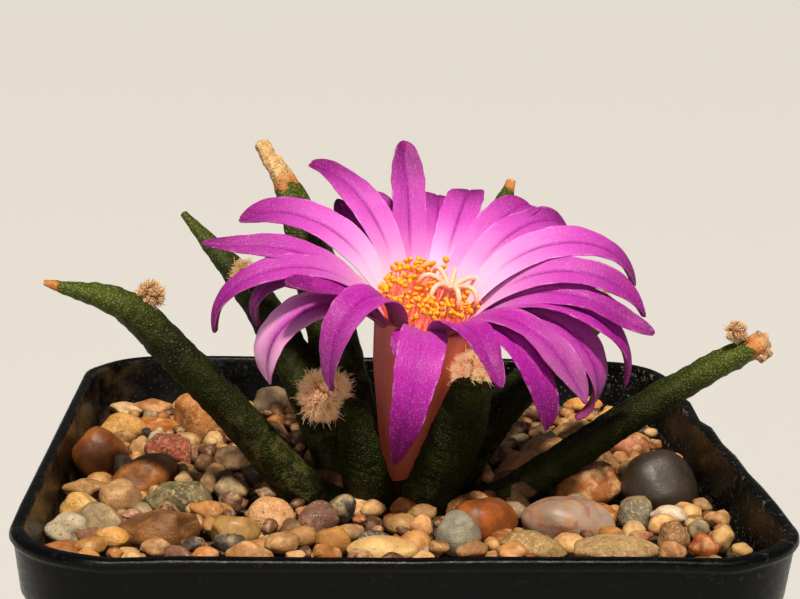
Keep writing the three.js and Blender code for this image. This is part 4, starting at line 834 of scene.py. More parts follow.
def pot_profile():
    """Outline of the pot's wall from the middle of its base, up outside, over the bead and down inside."""
    lip, band = RIM_HEIGHT - LIP_HEIGHT, wall_half(BAND_BOTTOM)
    ledge = band + BAND_STEP - WALL
    foot, upright = BASE_HALF - FOOT_BEVEL, RIM_HALF - BAND_INSET
    rows = [(half, 0) for half in (6, 12, 18, 22, foot - 0.3)]
    for turn in np.linspace(-np.pi / 2, 0, 5):
        rows.append((foot + FOOT_BEVEL * np.cos(turn), FOOT_BEVEL + FOOT_BEVEL * np.sin(turn)))
    rows += [(wall_half(z), z) for z in np.linspace(3, BAND_BOTTOM - 0.3, 16)]
    rows += [(band + out, BAND_BOTTOM + up) for out, up in ((0, -0.1), (0.05, 0.03), (0.75, 0.75))]
    rows.append((upright, LEDGE_TOP + 0.15))
    low, high = LEDGE_TOP + 0.3, lip - 0.2
    rows += [(upright + (BAND_INSET - BEAD) * t, low + (high - low) * t) for t in (0.25, 0.5, 0.75, 1)]
    rows += [(RIM_HALF - inset, lip + up) for inset, up in BEAD_OUTLINE]
    outside = len(rows)
    rows += [(RIM_HALF - inset, RIM_HEIGHT - down) for inset, down in ((1.2, 0.2), (1.25, 0.6), (1.3, 2.5))]
    rows += [(ledge + 0.05, LEDGE_TOP + 0.2), (ledge - 0.1, LEDGE_TOP)]
    rows.append((band - WALL + 0.1, BAND_BOTTOM + 0.1))
    rows += [(wall_half(z) - WALL, z) for z in (BAND_BOTTOM - 0.2, 52, 40, 28, 16, 6, FLOOR + 0.5)]
    rows += [(half, FLOOR) for half in (wall_half(FLOOR) - WALL - 0.4, 18, 10, 4)]
    return np.array(rows, float), outside


def pot_shell(unevenness):
    """The wall's outline carried round a square with round corners. The rim dips a little here and there, and
    more so on the right."""
    rows, outside = pot_profile()
    rings = np.array([square_ring(half, z) for half, z in rows])
    dips = np.minimum(unevenness * ripple(rings, 9, 5) * smooth(rings[..., 2], *WAVER_HEIGHTS), 0)
    rings[..., 2] += dips * (1 + 2.5 * smooth(rings[..., 0], 24, 34))
    inside = np.zeros(rings.shape[:2])
    inside[outside:] = 1
    return shell(rings, inside=inside)


def drill(piece, holes, radius, depth):
    """Round holes through the floor, cut with one boolean whose result is kept in the mesh."""
    cutters = []
    for x, y in holes:
        turn = round_steps(32)
        circle = np.column_stack([x + radius * np.cos(turn), y + radius * np.sin(turn), np.zeros(32)])
        cutters.append(shell([circle - [0, 0, depth], circle + [0, 0, depth]]))
    cutter = bpy.data.objects.new("drain_cutter", mesh_of("drain_cutter", cutters, piece.data.materials[0]))
    bpy.context.scene.collection.objects.link(cutter)
    modifier = piece.modifiers.new("holes", "BOOLEAN")
    modifier.operation, modifier.solver, modifier.object = "DIFFERENCE", "EXACT", cutter
    graph = bpy.context.evaluated_depsgraph_get()
    cut = piece.evaluated_get(graph)
    mesh = bpy.data.meshes.new_from_object(cut, preserve_all_data_layers=True, depsgraph=graph)
    piece.modifiers.remove(modifier)
    piece.data = mesh
    bpy.data.objects.remove(cutter)


def packed_pebbles():
    """The seeded grid of pebbles that makes the dressing's solid: place, half sizes, turn, tilt and lumps."""
    draws = seeded(11)
    larger = [*STONES.values(), *SEEN_PEBBLES]
    cells = range(-PEBBLE_ROWS, PEBBLE_ROWS + 1)
    pebbles = []
    for row, column in ((row, column) for row in cells for column in cells):
        a = 2.8 + 0.9 * next(draws)
        b = a * (0.65 + 0.25 * next(draws))
        c = a * (0.5 + 0.25 * next(draws))
        limit = PEBBLE_LIMIT - a
        stagger = 0.25 if row % 2 else -0.25
        x, y = (np.clip((cell + 0.4 * (next(draws) - 0.5)) * PEBBLE_PITCH, -limit, limit)
                for cell in (column + stagger, row))
        z = LEVEL + LEVEL_SLOPE * y - 0.9 + 0.9 * (next(draws) - 0.5)
        turn, tilt = 360 * next(draws), 50 * (next(draws) - 0.5)
        near = any(np.hypot(other[0] - x, other[1] - y) < PEBBLE_SPACING * (other[3] + a)
                   for other in larger)
        if not near and np.hypot(CROWN_CENTRE[0] - x, CROWN_CENTRE[1] - y) >= CROWN_REACH:
            pebbles.append([x, y, z, a, b, c, turn, tilt, 0.05])
    return pebbles


class HeightMap:
    """Heights of what already lies in the pot, on a square grid; a pebble is let down until it touches."""

    def __init__(self, step=0.25, half=34):
        self.axis = np.arange(-half, half + step / 2, step)
        y = np.meshgrid(self.axis, self.axis, indexing="ij")[1]
        self.height = LEVEL - SLAB_DEPTH + LEVEL_SLOPE * y

    def window(self, x, y, a, b, c, turn):
        """The part of the grid round a pebble, and how far its faces lie above and below its middle there."""
        reach = max(a, b)
        i0, i1 = np.searchsorted(self.axis, [x - reach, x + reach])
        j0, j1 = np.searchsorted(self.axis, [y - reach, y + reach])
        u, v = np.meshgrid(self.axis[i0:i1] - x, self.axis[j0:j1] - y, indexing="ij")
        cos, sin = np.cos(np.radians(turn)), np.sin(np.radians(turn))
        share = ((cos * u + sin * v) / a) ** 2 + ((cos * v - sin * u) / b) ** 2
        half = np.where(share < 1, c * np.sqrt(np.maximum(1 - share, 0)), -np.inf)
        return (slice(i0, i1), slice(j0, j1)), half

    def rest(self, x, y, a, b, c, turn):
        """Height of the middle at which the lower face first meets what lies below."""
        place, half = self.window(x, y, a, b, c, turn)
        return (self.height[place] + half).max()

    def lay(self, x, y, z, a, b, c, turn):
        """Raise the heights to the upper face of a pebble."""
        place, half = self.window(x, y, a, b, c, turn)
        self.height[place] = np.maximum(self.height[place], z + half)


def tubercle_feet(highest):
    """Places along the lower halves of the tubercles, with the half width there, below a height."""
    share = np.linspace(0, 0.5, 30)
    feet = np.vstack([np.column_stack([curve_through(line, share)[0], numbers_through(half, share) * spread])
                      for line, half, spread, _, _ in TUBERCLES.values()])
    return feet[feet[:, 2] < highest]


def filled_in_pebbles(packed, count, seed):
    """Ever smaller pebbles, each let down into the lowest of several seeded places, so that they fill gaps.
    They keep away from the crown, from the tubercles, from the wall and from its corners."""
    heights = HeightMap()
    for row in [*STONES.values(), *packed]:
        heights.lay(*row[:7])
    feet = tubercle_feet(RIM_HEIGHT)
    random = np.random.default_rng(seed)
    pebbles = []
    for i in range(count):
        a = (2.3 - 1.6 * (i / count) ** 0.6) * random.uniform(0.85, 1.15)
        b, c = a * random.uniform(0.65, 0.95), a * random.uniform(0.5, 0.8)
        turn = random.uniform(0, 360)
        limit = wall_half(LEVEL) - WALL - 0.3 - 0.8 * a
        spots = random.uniform(-limit, limit, (SPOTS_TRIED, 2))
        x, y = spots.T
        clear = np.hypot(x - CROWN_CENTRE[0], y - CROWN_CENTRE[1]) > CROWN_REACH + 0.5 * a
        apart = np.hypot(x[:, None] - feet[:, 0], y[:, None] - feet[:, 1])
        clear &= (apart > feet[:, 3] * 0.8 + 0.7 * a).all(1)
        past = np.maximum(np.minimum(np.abs(spots), limit) - (HEAP_HALF - CORNER_RIM), 0)
        clear &= np.hypot(*past.T) < CORNER_RIM - a
        spots = spots[clear]
        if not len(spots):
            continue
        tops = [heights.rest(x, y, a, b, c, turn) for x, y in spots]
        best = int(np.argmin(tops))
        x, y = spots[best]
        z = tops[best] - 0.12 * c
        if z + c > LEVEL + LEVEL_SLOPE * y + HEAP_HEIGHT:
            continue
        heights.lay(x, y, z, a, b, c, turn)
        pebbles.append([x, y, z, a, b, c, turn, random.uniform(-12, 12), 0.05])
    return pebbles


def grit_bed(seed):
    """Slab under the pebbles: rings that narrow to the middle above and below, with an uneven top."""
    rings = []
    for half in (3, 7, 11, 15, 19, 23, 27, 30, wall_half(BAND_BOTTOM) - WALL - GRIT_GAP):
        ring = square_ring(half, 0)
        ring[:, 2] = LEVEL - SLAB_DEPTH + LEVEL_SLOPE * ring[:, 1] + 0.25 * ripple(ring, 3, seed)
        rings.append(ring)
    for half in (wall_half(DRESSING_BOTTOM) - WALL - GRIT_GAP, 20, 10, 4):
        rings.append(square_ring(half, DRESSING_BOTTOM + 0.3))
    return shell(rings)


def tubercle(name, steps, sides):
    """Finger along a smooth line. Its section is flatter above than below, with a furrow along the top; a
    half round closes the tip, and low waves make the skin uneven. The dry mark is the distance past the dry
    share."""
    line, half, spread, furrow, dry_from = TUBERCLES[name]
    share = np.linspace(0, 1, steps)
    centre, along = curve_through(line, share)
    size = numbers_through(half, share)
    turn = np.linspace(0, np.pi / 2, 7)[1:] * 0.97
    blunt = TIP_LENGTH * size[-1]
    centre = np.vstack([centre, centre[-1] + blunt * np.sin(turn)[:, None] * along[-1]])
    along = np.vstack([along, np.repeat(along[-1:], len(turn), 0)])
    size = np.concatenate([size, size[-1] * np.cos(turn)])
    share = np.concatenate([share, 1 + 0.02 * np.sin(turn)])
    side = unit(np.cross(UP, along))
    upper = np.cross(along, side)
    angle = round_steps(sides)[None, :]
    on_top = np.sin(angle) > 0
    rise = np.sin(angle) * np.where(on_top, FLAT_TOP, 1) + (1 - FLAT_TOP) / 2
    dip = np.where(on_top, furrow * np.sin(angle) ** 8, 0)
    across = (size * spread)[:, None] * np.cos(angle)
    lift = (size * 2 / (1 + FLAT_TOP))[:, None] * (rise - dip)
    points = centre[:, None] + side[:, None] * across[..., None] + upper[:, None] * lift[..., None]
    away = unit(points - centre[:, None])
    uneven = sum(height * ripple(points, length, seed) for height, length, seed in SKIN_WAVES)
    dry = (share - dry_from)[:, None] / DRYING_SHARE
    crust = smooth(dry, 0, 1) * (0.06 * ripple(points, 0.5, 4) - 0.12)
    points = points + away * ((uneven + crust) * np.minimum(size, 1)[:, None])[..., None]
    cork = smooth(share, 0.06, 0.2) * (1 - smooth(share, 0.3, 0.5))
    scar = np.exp(-(np.linalg.norm(points - SCAR[:3], axis=-1) / SCAR[3]) ** 4)
    return shell(points, dry=dry, cork=cork[:, None], scar=scar)


def root_and_crown():
    """Taproot and crown: the outline turned about the plant's own axis, closed at both ends."""
    profile = np.column_stack([ROOT_PROFILE, np.zeros(len(ROOT_PROFILE))])
    outline = curve_through(profile, np.linspace(0, 1, 60))[0][1:-1]
    turn = round_steps(64)
    (x, y), radius = CROWN_CENTRE, np.maximum(outline[:, :1], 0.05)
    z = outline[:, 1:2] + 0 * turn
    rings = np.stack([x + radius * np.cos(turn), y + radius * np.sin(turn), z], -1)
    rings[..., :2] += 0.15 * ripple(rings, 3, 8)[..., None]
    return shell(rings, cork=0.5, dry=-9, scar=0)


def wool_tuft(centre, radius, flat, lit, per_area, thickness, seed):
    """Ball of matted wool: strands start on a core at evenly spread seeded directions and lean towards the
    nearest of a few seeded locks, each with its own length and tint, while they curl with a sine and taper.
    A few stand out as a fringe. The lit mark says how strongly the tuft glows with painted light."""
    random = np.random.default_rng(seed)
    centre, area = np.asarray(centre), 4 * np.pi * radius ** 2
    count = int(per_area * area)
    z = 1 - 2 * (np.arange(count) + 0.5) / count
    turn = np.arange(count) * GOLDEN_ANGLE
    ring = np.sqrt(1 - z * z)
    even = np.column_stack([ring * np.cos(turn), ring * np.sin(turn), z * flat])
    out = unit(even + 0.1 * random.normal(size=(count, 3)))
    locks = unit(random.normal(size=(int(0.9 * area) + 8, 3)))
    own = np.argmax(out @ locks.T, 1)
    reach, tint = random.uniform(0.85, 1.15, len(locks))[own], random.uniform(0, 1, count)
    fringe = random.uniform(size=count) < FRINGE_SHARE
    long, matted = random.uniform(*FRINGE_LENGTHS, count), random.uniform(*MATTED_LENGTHS, count)
    length = radius * reach * np.where(fringe, long, matted)
    sideways = unit(np.cross(out, unit(random.normal(size=(count, 3)))))
    other = np.cross(out, sideways)
    share = np.linspace(0, 1, 6)
    phase, turns = random.uniform(0, 2 * np.pi, count), random.uniform(0.6, 1.6, count)
    wave = phase[:, None] + 2 * np.pi * turns[:, None] * share
    swing = min(0.1 * radius, 0.2) * share ** 0.8
    lean = unit(out[:, None] + LOCK_PULL * share[:, None] * (locks[own] - out)[:, None])
    line = (centre + (WOOL_START * radius + length[:, None] * share)[..., None] * lean
            + (swing * np.sin(wave))[..., None] * sideways[:, None]
            + (swing * np.cos(wave))[..., None] * other[:, None])
    width = thickness * (1 - STRAND_TAPER * share ** 2)
    angle = round_steps(3)[:, None]
    section = sideways[:, None, None] * np.cos(angle) + other[:, None, None] * np.sin(angle)
    rings = line[:, :, None] + width[None, :, None, None] * section
    strands = [shell(ring, share=share[:, None], tint=own_tint, lit=lit)
               for ring, own_tint in zip(rings, tint)]
    directions = ball(24, 14)
    bumpy = WOOL_CORE * radius * (1 + 0.1 * ripple(directions, 0.8, seed))
    core = centre + directions * bumpy[..., None] * [1, 1, flat]
    # The core takes the darkest root colour: painted shade in the middle of the tuft.
    return strands + [shell(core, share=0.0, tint=0.5, lit=lit)]


def petal_half_width(s, width, widest, blunt):
    """A bit over half the full width at the base, widest at its own share, then less, and rounded off at the
    tip as the share to the power of its bluntness."""
    swell = 0.56 + 0.44 * np.sin(np.pi / 2 * np.minimum(s / widest, 1))
    taper = 1 - 0.25 * np.maximum((s - widest) / (1 - widest), 0) ** 2
    return width / 2 * swell * taper * np.maximum(1 - s ** blunt, 0) ** 0.55


def petal(row, number, thickness, rows=64, columns=17):
    """Arched blade: its angle falls from the base to the tip as a power of the length, and the arch is the
    sum of its steps. Across, it is folded along the middle, thins to the margins, ruffles with a sine that
    grows towards them, and turns about its own length by the twist."""
    azimuth, length, rise, droop, hook, width, widest, blunt, sweep, twist, ruffle, notch, wash, spread = row
    turn = np.radians(azimuth)
    out, side = flower_directions(turn)
    fine = np.linspace(0, 1, ARCH_STEPS + 1)
    angle = np.radians(rise + (droop - rise) * fine ** spread - hook * smooth(fine, 0.72, 1))
    start = PETAL_RADIUS + (USUAL_RISE - rise) * RISE_SHIFT
    r = start + np.concatenate([[0], np.cumsum(np.cos(angle[:-1]))]) * length / ARCH_STEPS
    h = PETAL_START + np.concatenate([[0], np.cumsum(np.sin(angle[:-1]))]) * length / ARCH_STEPS
    s = 1 - (1 - np.linspace(0, 1, rows)) ** 1.25
    angle, r, h = (np.interp(s, fine, values) for values in (angle, r, h))
    u = -np.cos(np.linspace(0, np.pi, columns))
    half = np.maximum(petal_half_width(s, width, widest, blunt), 0.02)
    ragged = sum(share * np.sin(waves * s + shift * number) for share, waves, shift in RAGGED)
    half = (half * (1 + ragged * smooth(s, 0.2, 0.6)))[:, None]
    inner = -np.sin(angle)[:, None] * out + np.cos(angle)[:, None] * AXIS
    forward = np.cos(angle)[:, None] * out + np.sin(angle)[:, None] * AXIS
    roll = np.radians(twist) * smooth(s, 0, 0.4)[:, None]
    across = np.cos(roll) * side + np.sin(roll) * inner
    normal = np.cos(roll) * inner - np.sin(roll) * side
    centre = THROAT + r[:, None] * out + h[:, None] * AXIS + (length * sweep * s * s)[:, None] * side
    s, u = s[:, None], u[None, :]
    channel = PETAL_CHANNEL * half * (np.abs(u) - 0.5) * (1 + smooth(s, 0.7, 1))
    channel = channel + 0.1 * half * (u * u - 0.4) * (1 - s)
    waves = ruffle * np.abs(u) ** 2.5 * smooth(s, 0.25, 0.7)
    waves = waves * np.sin(2 * np.pi * (1.9 * s + 0.37 * number) + 1.3 * np.sign(u))
    groove = sum(depth * np.exp(-((np.abs(u) - place) / wide) ** 2) for depth, place, wide in GROOVES)
    depth = channel + waves - groove * smooth(s, 0.05, 0.2)
    back = notch * length * NOTCH_DEPTH * np.exp(-(u / NOTCH_WIDTH) ** 2) * smooth(s, 0.9, 1.0)
    middle = (centre[:, None] + (u * half)[..., None] * across[:, None] + depth[..., None] * normal[:, None]
              - back[..., None] * forward[:, None])
    body = thickness / 2 * (1 - MARGIN_THINNING * np.abs(u) ** 3)
    body = body * (1 + BASE_THICKENING * (1 - smooth(s, 0, 0.3)))
    outward = np.minimum(body, half * 0.6)[..., None] * normal[:, None]
    rings = np.concatenate([middle + outward, (middle - outward)[:, ::-1]], 1)
    across = np.concatenate([u, u[:, ::-1]], 1)
    upper = np.repeat([[1.0, 0.0]], columns, 1)
    edge, stripe = smooth(np.abs(across), 0.6, 0.9), np.exp(-(across / 0.4) ** 2)
    tip = smooth(s, 0.35, 0.8) * (1 - 0.75 * stripe * (1 - smooth(s, 0.7, 1)))
    # How much a petal is painted lit and pale towards the throat: most for the back petals, which face the
    # light.
    bleach = 0.05 + 0.95 * smooth(np.sin(turn), -0.55, 0.25)
    return shell(rings, along=s, across=across, upper=upper, pick=(number * 0.618) % 1, bleach=bleach,
                 wash=wash * np.maximum(tip, 0.7 * edge))


def floral_tube(ribs, depth, columns=96):
    """Ribbed funnel on the flower's axis: an outline of radius over height, with a cosine of the azimuth for
    the ribs, closed by the hollow inside."""
    heights, radii = np.array([*TUBE_RADII, TUBE_TOP]).T
    h = np.linspace(heights[0], heights[-1], 48)
    turn = round_steps(columns)
    share = (h - h[0]) / (h[-1] - h[0])
    rib = 1 + depth * np.cos(ribs * turn) * smooth(share, 0.2, 0.9)[:, None]
    outer = flower_point(np.interp(h, heights, radii)[:, None] * rib, turn[None, :], h[:, None])
    inner_h = np.linspace(heights[-1] - 0.2, HOLLOW_BOTTOM, 20)
    inner_r = np.maximum(np.interp(inner_h, heights, radii) - TUBE_WALL, 0.3)
    inner = flower_point(inner_r[:, None] + 0 * turn, turn[None, :], inner_h[:, None])
    along = np.concatenate([share, np.ones(len(inner_h))])[:, None]
    # How much each side of the tube is painted as lit.
    sunny = 0.5 + 0.5 * np.cos(turn - PAINTED_LIT_SIDE)
    return shell(np.concatenate([outer, inner]), along=along, around=turn, sunny=sunny)


def stamens(count, thickness, anther):
    """Filaments rise from a ring inside the tube, bow out and end in an anther on a disc with the golden
    angle. Those in front lean in and show their filaments, those under the stigma stay lower, and those in
    the way of the style are left out."""
    ring_radius, ring_height = STAMEN_RING
    index = np.arange(count)
    random = np.random.default_rng(21)
    azimuth = index * GOLDEN_ANGLE + random.uniform(-0.15, 0.15, count)
    front = smooth(-np.sin(azimuth), 0.1, 0.9)
    middle, growth = ANTHER_DISC
    radius = (middle + growth * np.sqrt((index + 0.5) / count)) * (1 - FRONT_LEAN * front)
    height = ANTHER_HEIGHT + np.sin(azimuth) * (1 - 0.55 * front) + random.uniform(*ANTHER_SPREAD, count)
    low = random.uniform(size=count) < LOW_SHARE
    height = height - 0.3 * smooth(radius, 4.2, 5) - LOW_DROP * front * low
    foot = flower_point(0, 0, ring_height)
    stand = np.radians(STIGMA_AZIMUTH)
    head = flower_point(STIGMA_RADIUS, stand, STIGMA_HEIGHT)
    off = np.abs(radius * np.exp(1j * azimuth) - STIGMA_RADIUS * np.exp(1j * stand))
    under = STIGMA_HEIGHT - random.uniform(0.4, 1.4, count)
    height = np.where(off < STIGMA_REACH + 0.2, np.minimum(height, under), height)
    share, bow = np.linspace(0, 1, 8), np.minimum((ring_radius + radius) / 2, ring_radius + 0.5)
    lumps = ball(8, 5)
    waist = 1 + 0.22 * np.cos(2 * np.arctan2(lumps[..., 1], lumps[..., 0]))
    filaments, anthers = [], []
    for i in index:
        r = (1 - share) ** 2 * ring_radius + 2 * share * (1 - share) * bow[i] + share ** 2 * radius[i]
        h = ring_height + (height[i] - ring_height) * share
        line = flower_point(r, azimuth[i] + 0.12 * np.sin(3 * share + i), h)
        tip = line[-1]
        if np.linalg.norm(np.cross(tip - foot, unit(head - foot))) < STYLE_CLEARANCE:
            continue
        filaments.append(rod(line, thickness * (1 - 0.35 * share), 5, along=share[:, None]))
        lean = unit(random.normal(size=3) + 0.6 * AXIS)
        first = unit(np.cross(lean, [0.3, 0.2, 0.9]))
        second = np.cross(lean, first)
        local = (lumps[..., 0:1] * first * waist[..., None] + lumps[..., 1:2] * second * 0.9) * anther * 0.75
        anthers.append(shell(tip + local + lumps[..., 2:3] * lean * anther * random.uniform(0.95, 1.25)))
    return filaments, anthers


def pistil(lobes):
    """Style up through the tube, and lobes that arch outwards from its head and turn down at their ends."""
    foot, middle = flower_point(0, 0, STYLE_FOOT), flower_point(0, 0, STAMEN_RING[1])
    head = flower_point(STIGMA_RADIUS, np.radians(STIGMA_AZIMUTH), STIGMA_HEIGHT)
    share = np.linspace(0, 1, 24)
    line = curve_through([foot, middle, head - 0.4 * AXIS, head], share)[0]
    thick = np.interp(share, STYLE_SHARES, STYLE_HALVES)
    parts = [rod(line, thick, 14, along=smooth(share, 0.6, 1.0)[:, None] * 0.6)]
    random = np.random.default_rng(4)
    t = np.linspace(0, 1, 14)
    lift = 1.35 * np.sin(np.pi * np.minimum(t * 0.9, 1)) - 0.75 * t ** 3 + 0.1
    width = LOBE_HALF * np.interp(t, [0, 0.15, 0.85, 1], [0.9, 1, 0.95, 0.5])
    for i in range(lobes):
        out, across = flower_directions((i + 0.3) / lobes * 2 * np.pi + random.uniform(-0.12, 0.12))
        reach = STIGMA_REACH * random.uniform(0.9, 1.04)
        line = (head - 0.25 * AXIS + (reach * np.sin(t * np.pi / 2) ** 1.1)[:, None] * out
                + lift[:, None] * AXIS + (0.35 * np.sin(i * 1.7) * t * t)[:, None] * across)
        parts.append(rod(line, width, 10, along=0.6 + 0.4 * t[:, None]))
    return parts


def length_value(name, default, description):
    """Property for a length in metres."""
    return bpy.props.FloatProperty(name=name, description=description, default=default, min=0, unit="LENGTH",
                                   precision=5)


def colour_value(name, code, description):
    """Property for a colour, with its default from six hexadecimal digits."""
    return bpy.props.FloatVectorProperty(name=name, description=description, default=rgba(code)[:3], size=3,
                                         min=0, max=1, subtype="COLOR")


def number_value(name, default, description, **limits):
    """Property for a plain number."""
    return bpy.props.FloatProperty(name=name, description=description, default=default, **limits)


def count_value(name, default, description, **limits):
    """Property for a whole number."""
    return bpy.props.IntProperty(name=name, description=description, default=default, **limits)


class RockCactusPot(bpy.types.PropertyGroup):
    unevenness: length_value("Unevenness", 0.00012, "How far the moulded rim wavers")
    plastic: colour_value("Plastic", "040506", "Colour of the pot's plastic")
    dust: colour_value("Dust", "1e2022", "Colour of the dust on the plastic")


class RockCactusDressing(bpy.types.PropertyGroup):
    count: count_value("Small pebbles", 1500, "How many small pebbles are tried in the gaps", min=0, max=2000)
    seed: count_value("Seed", 7, "Start of the random places of the small pebbles")


class RockCactusPlant(bpy.types.PropertyGroup):
    skin: colour_value("Skin", "1e2605", "Main colour of the tubercles")
    shade: colour_value("Skin shade", "0e0f03", "Darker colour of the tubercles")
    dry: colour_value("Dry tip", "bb8f5a", "Colour of dried tips")
    wool: colour_value("Wool", "ffd49c", "Colour of the wool")
    strand: length_value("Wool strand", 0.000055, "Half thickness of a strand of wool")
    strands: number_value("Strands", 36, "Strands to each square millimetre of a tuft", min=1, max=60)


class RockCactusFlower(bpy.types.PropertyGroup):
    petal: colour_value("Petal", "a6089a", "Main colour of the petals")
    deep: colour_value("Petal tip", "640056", "Colour of the petals' veins and tips")
    pale: colour_value("Petal base", "f4aee4", "Colour of the petals towards the throat and at the margins")
    thickness: length_value("Petal thickness", 0.00034, "Thickness of a petal along its middle")
    stamen_count: count_value("Stamens", 240, "Number of stamens before any is left out", min=10, max=300)
    filament: length_value("Filament", 0.00011, "Half thickness of a filament at its foot")
    filament_colour: colour_value("Filament", "ffa890", "Colour of the filaments")
    anther: length_value("Anther", 0.00033, "Half length of an anther")
    anther_colour: colour_value("Anther", "ffb412", "Colour of the anthers")
    stigma_colour: colour_value("Stigma", "ffccb0", "Colour of the stigma's lobes")


class RockCactusStage(bpy.types.PropertyGroup):
    floor: colour_value("Floor", "c6c7c9", "Colour of the floor")
    reach: length_value("Floor reach", 6.0, "Half width of the floor")
    key: number_value("Key light", 4.9, "Strength of the main light in watts per square metre", min=0)
    fill: number_value("Fill light", 0.6, "Strength of the fill light in watts per square metre", min=0)
    air: number_value("Surroundings", 0.11, "Strength of the light from all around", min=0)
    lens: number_value("Lens", 74.745, "Focal length of the camera in millimetres", min=1)


class Builder:
    """What the operators share."""
    bl_options = {"REGISTER", "UNDO"}


class MakePot(Builder, bpy.types.Operator):
    """Build the square pot with its rim band, bead, inner ledge and drain holes"""
    bl_idname = "rock_cactus.pot"
    bl_label = "Pot"

    def execute(self, context):
        look = context.scene.rock_cactus_pot
        paint = pot_paint((*look.plastic, 1), (*look.dust, 1))
        wall = pot_shell(look.unevenness / MM)
        piece = make_piece("pot_shell", [wall], paint, "pot_plastic", "pot", marks=("inside",))
        places = [(sx * DRAIN_PLACE, sy * DRAIN_PLACE) for sx in (1, -1) for sy in (1, -1)]
        drill(piece, places, DRAIN_RADIUS, depth=4)
        return {"FINISHED"}


class DressSoil(Builder, bpy.types.Operator):
    """Give the compost its crumbly finish"""
    bl_idname = "rock_cactus.soil"
    bl_label = "Compost"

    def execute(self, context):
        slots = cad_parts["soil"].data.materials
        slots.clear()
        slots.append(compost_paint())
        return {"FINISHED"}


class MakeGravel(Builder, bpy.types.Operator):
    """Lay the small pebbles of the top dressing on their bed of grit"""
    bl_idname = "rock_cactus.gravel"
    bl_label = "Small pebbles"

    def execute(self, context):
        look = context.scene.rock_cactus_dressing
        seen = [[*row[:8], 0.08, row[8]] for row in SEEN_PEBBLES]
        random = np.random.default_rng(look.seed)
        packed = [[*row, str(random.choice(GRAVEL_COLOURS))] for row in packed_pebbles()]
        small = filled_in_pebbles(seen + packed, look.count, look.seed)
        parts = []
        for i, row in enumerate(seen + packed, GRAVEL_SEED):
            tint = self.tint(row[9], random)
            parts.append(pebble(row, i, columns=30, rows=17, sharpness=14, **tint))
        for i, row in enumerate(small, FILL_IN_SEED):
            tint = self.tint(str(random.choice(GRAVEL_COLOURS)), random)
            parts.append(pebble(row, i, columns=9, rows=5, sharpness=11, **tint))
        make_piece("small_pebbles", parts, gravel_paint(), "gravel", "gravel_bed", marks=CHANNELS)
        make_piece("grit_bed", [grit_bed(look.seed)], grit_paint(), "gravel", "gravel_bed")
        return {"FINISHED"}

    def tint(self, code, random):
        """Marks for a colour, made a little lighter or darker at random."""
        light = random.uniform(0.85, 1.15)
        return {name: channel * light for name, channel in zip(CHANNELS, rgba(code))}


class MakeStones(Builder, bpy.types.Operator):
    """Make each larger pebble with its own colour and finish"""
    bl_idname = "rock_cactus.stones"
    bl_label = "Larger pebbles"

    def execute(self, context):
        for seed, (name, row) in enumerate(STONES.items(), STONE_SEED):
            main, second, finish, slot = row[10].split()
            stone = pebble(row, seed, columns=56, rows=34, sharpness=row[9])
            paint = stone_paint(name, main, second, finish)
            make_piece("pebble_" + name, [stone], paint, slot + "_stone", "stone_" + name)
        return {"FINISHED"}


class MakePlant(Builder, bpy.types.Operator):
    """Grow the root, the crown and the finger-like tubercles"""
    bl_idname = "rock_cactus.plant"
    bl_label = "Plant body"

    def execute(self, context):
        look = context.scene.rock_cactus_plant
        parts = [root_and_crown()] + [tubercle(name, steps=130, sides=44) for name in TUBERCLES]
        for i, (x, y, z, radius) in enumerate(BROKEN_END):
            lump = [x, y, z, radius, radius * 0.7, radius * 0.9, 50 * i, 20, 0.22]
            marks = {"dry": 1 + 0.15 * i, "scar": 0.4}
            parts.append(pebble(lump, LUMP_SEED + i, columns=24, rows=14, sharpness=16, **marks))
        paint = flesh_paint((*look.skin, 1), (*look.shade, 1), (*look.dry, 1))
        make_piece("plant_body", parts, paint, "plant_flesh", "cactus_body", marks=("dry", "cork", "scar"))
        return {"FINISHED"}


class MakeWool(Builder, bpy.types.Operator):
    """Set a tuft of wool at each areole"""
    bl_idname = "rock_cactus.wool"
    bl_label = "Wool tufts"

    def execute(self, context):
        look = context.scene.rock_cactus_plant
        paint = wool_paint((*look.wool, 1))
        for i, (name, node, centre, radius, flat, lit) in enumerate(TUFTS):
            parts = wool_tuft(centre, radius, flat, lit, look.strands, look.strand / MM, i + 1)
            make_piece(name, parts, paint, "areole_wool", node, marks=("share", "tint", "lit"))
        return {"FINISHED"}


class MakeFloralTube(Builder, bpy.types.Operator):
    """Build the ribbed floral tube"""
    bl_idname = "rock_cactus.floral_tube"
    bl_label = "Floral tube"

    def execute(self, context):
        tube = floral_tube(ribs=13, depth=0.03)
        make_piece("ribbed_tube", [tube], tube_paint(), "floral_tube", "flower_tube",
                   marks=("along", "around", "sunny"))
        return {"FINISHED"}


class MakePetals(Builder, bpy.types.Operator):
    """Set the petals round the throat"""
    bl_idname = "rock_cactus.petals"
    bl_label = "Petals"

    def execute(self, context):
        look = context.scene.rock_cactus_flower
        paint = petal_paint((*look.petal, 1), (*look.deep, 1), (*look.pale, 1))
        parts = [petal(row, i, look.thickness / MM) for i, row in enumerate(PETALS)]
        make_piece("petal_whorl", parts, paint, "petal", "flower_petals",
                   marks=("along", "across", "upper", "pick", "wash", "bleach"))
        return {"FINISHED"}


class MakeStamens(Builder, bpy.types.Operator):
    """Fill the throat with filaments and anthers"""
    bl_idname = "rock_cactus.stamens"
    bl_label = "Stamens"

    def execute(self, context):
        look = context.scene.rock_cactus_flower
        filaments, anthers = stamens(look.stamen_count, look.filament / MM, look.anther / MM)
        salmon, golden = filament_paint((*look.filament_colour, 1)), anther_paint((*look.anther_colour, 1))
        make_piece("filaments", filaments, salmon, "anther", "stamens", marks=("along",))
        make_piece("anthers", anthers, golden, "anther", "stamens")
        return {"FINISHED"}


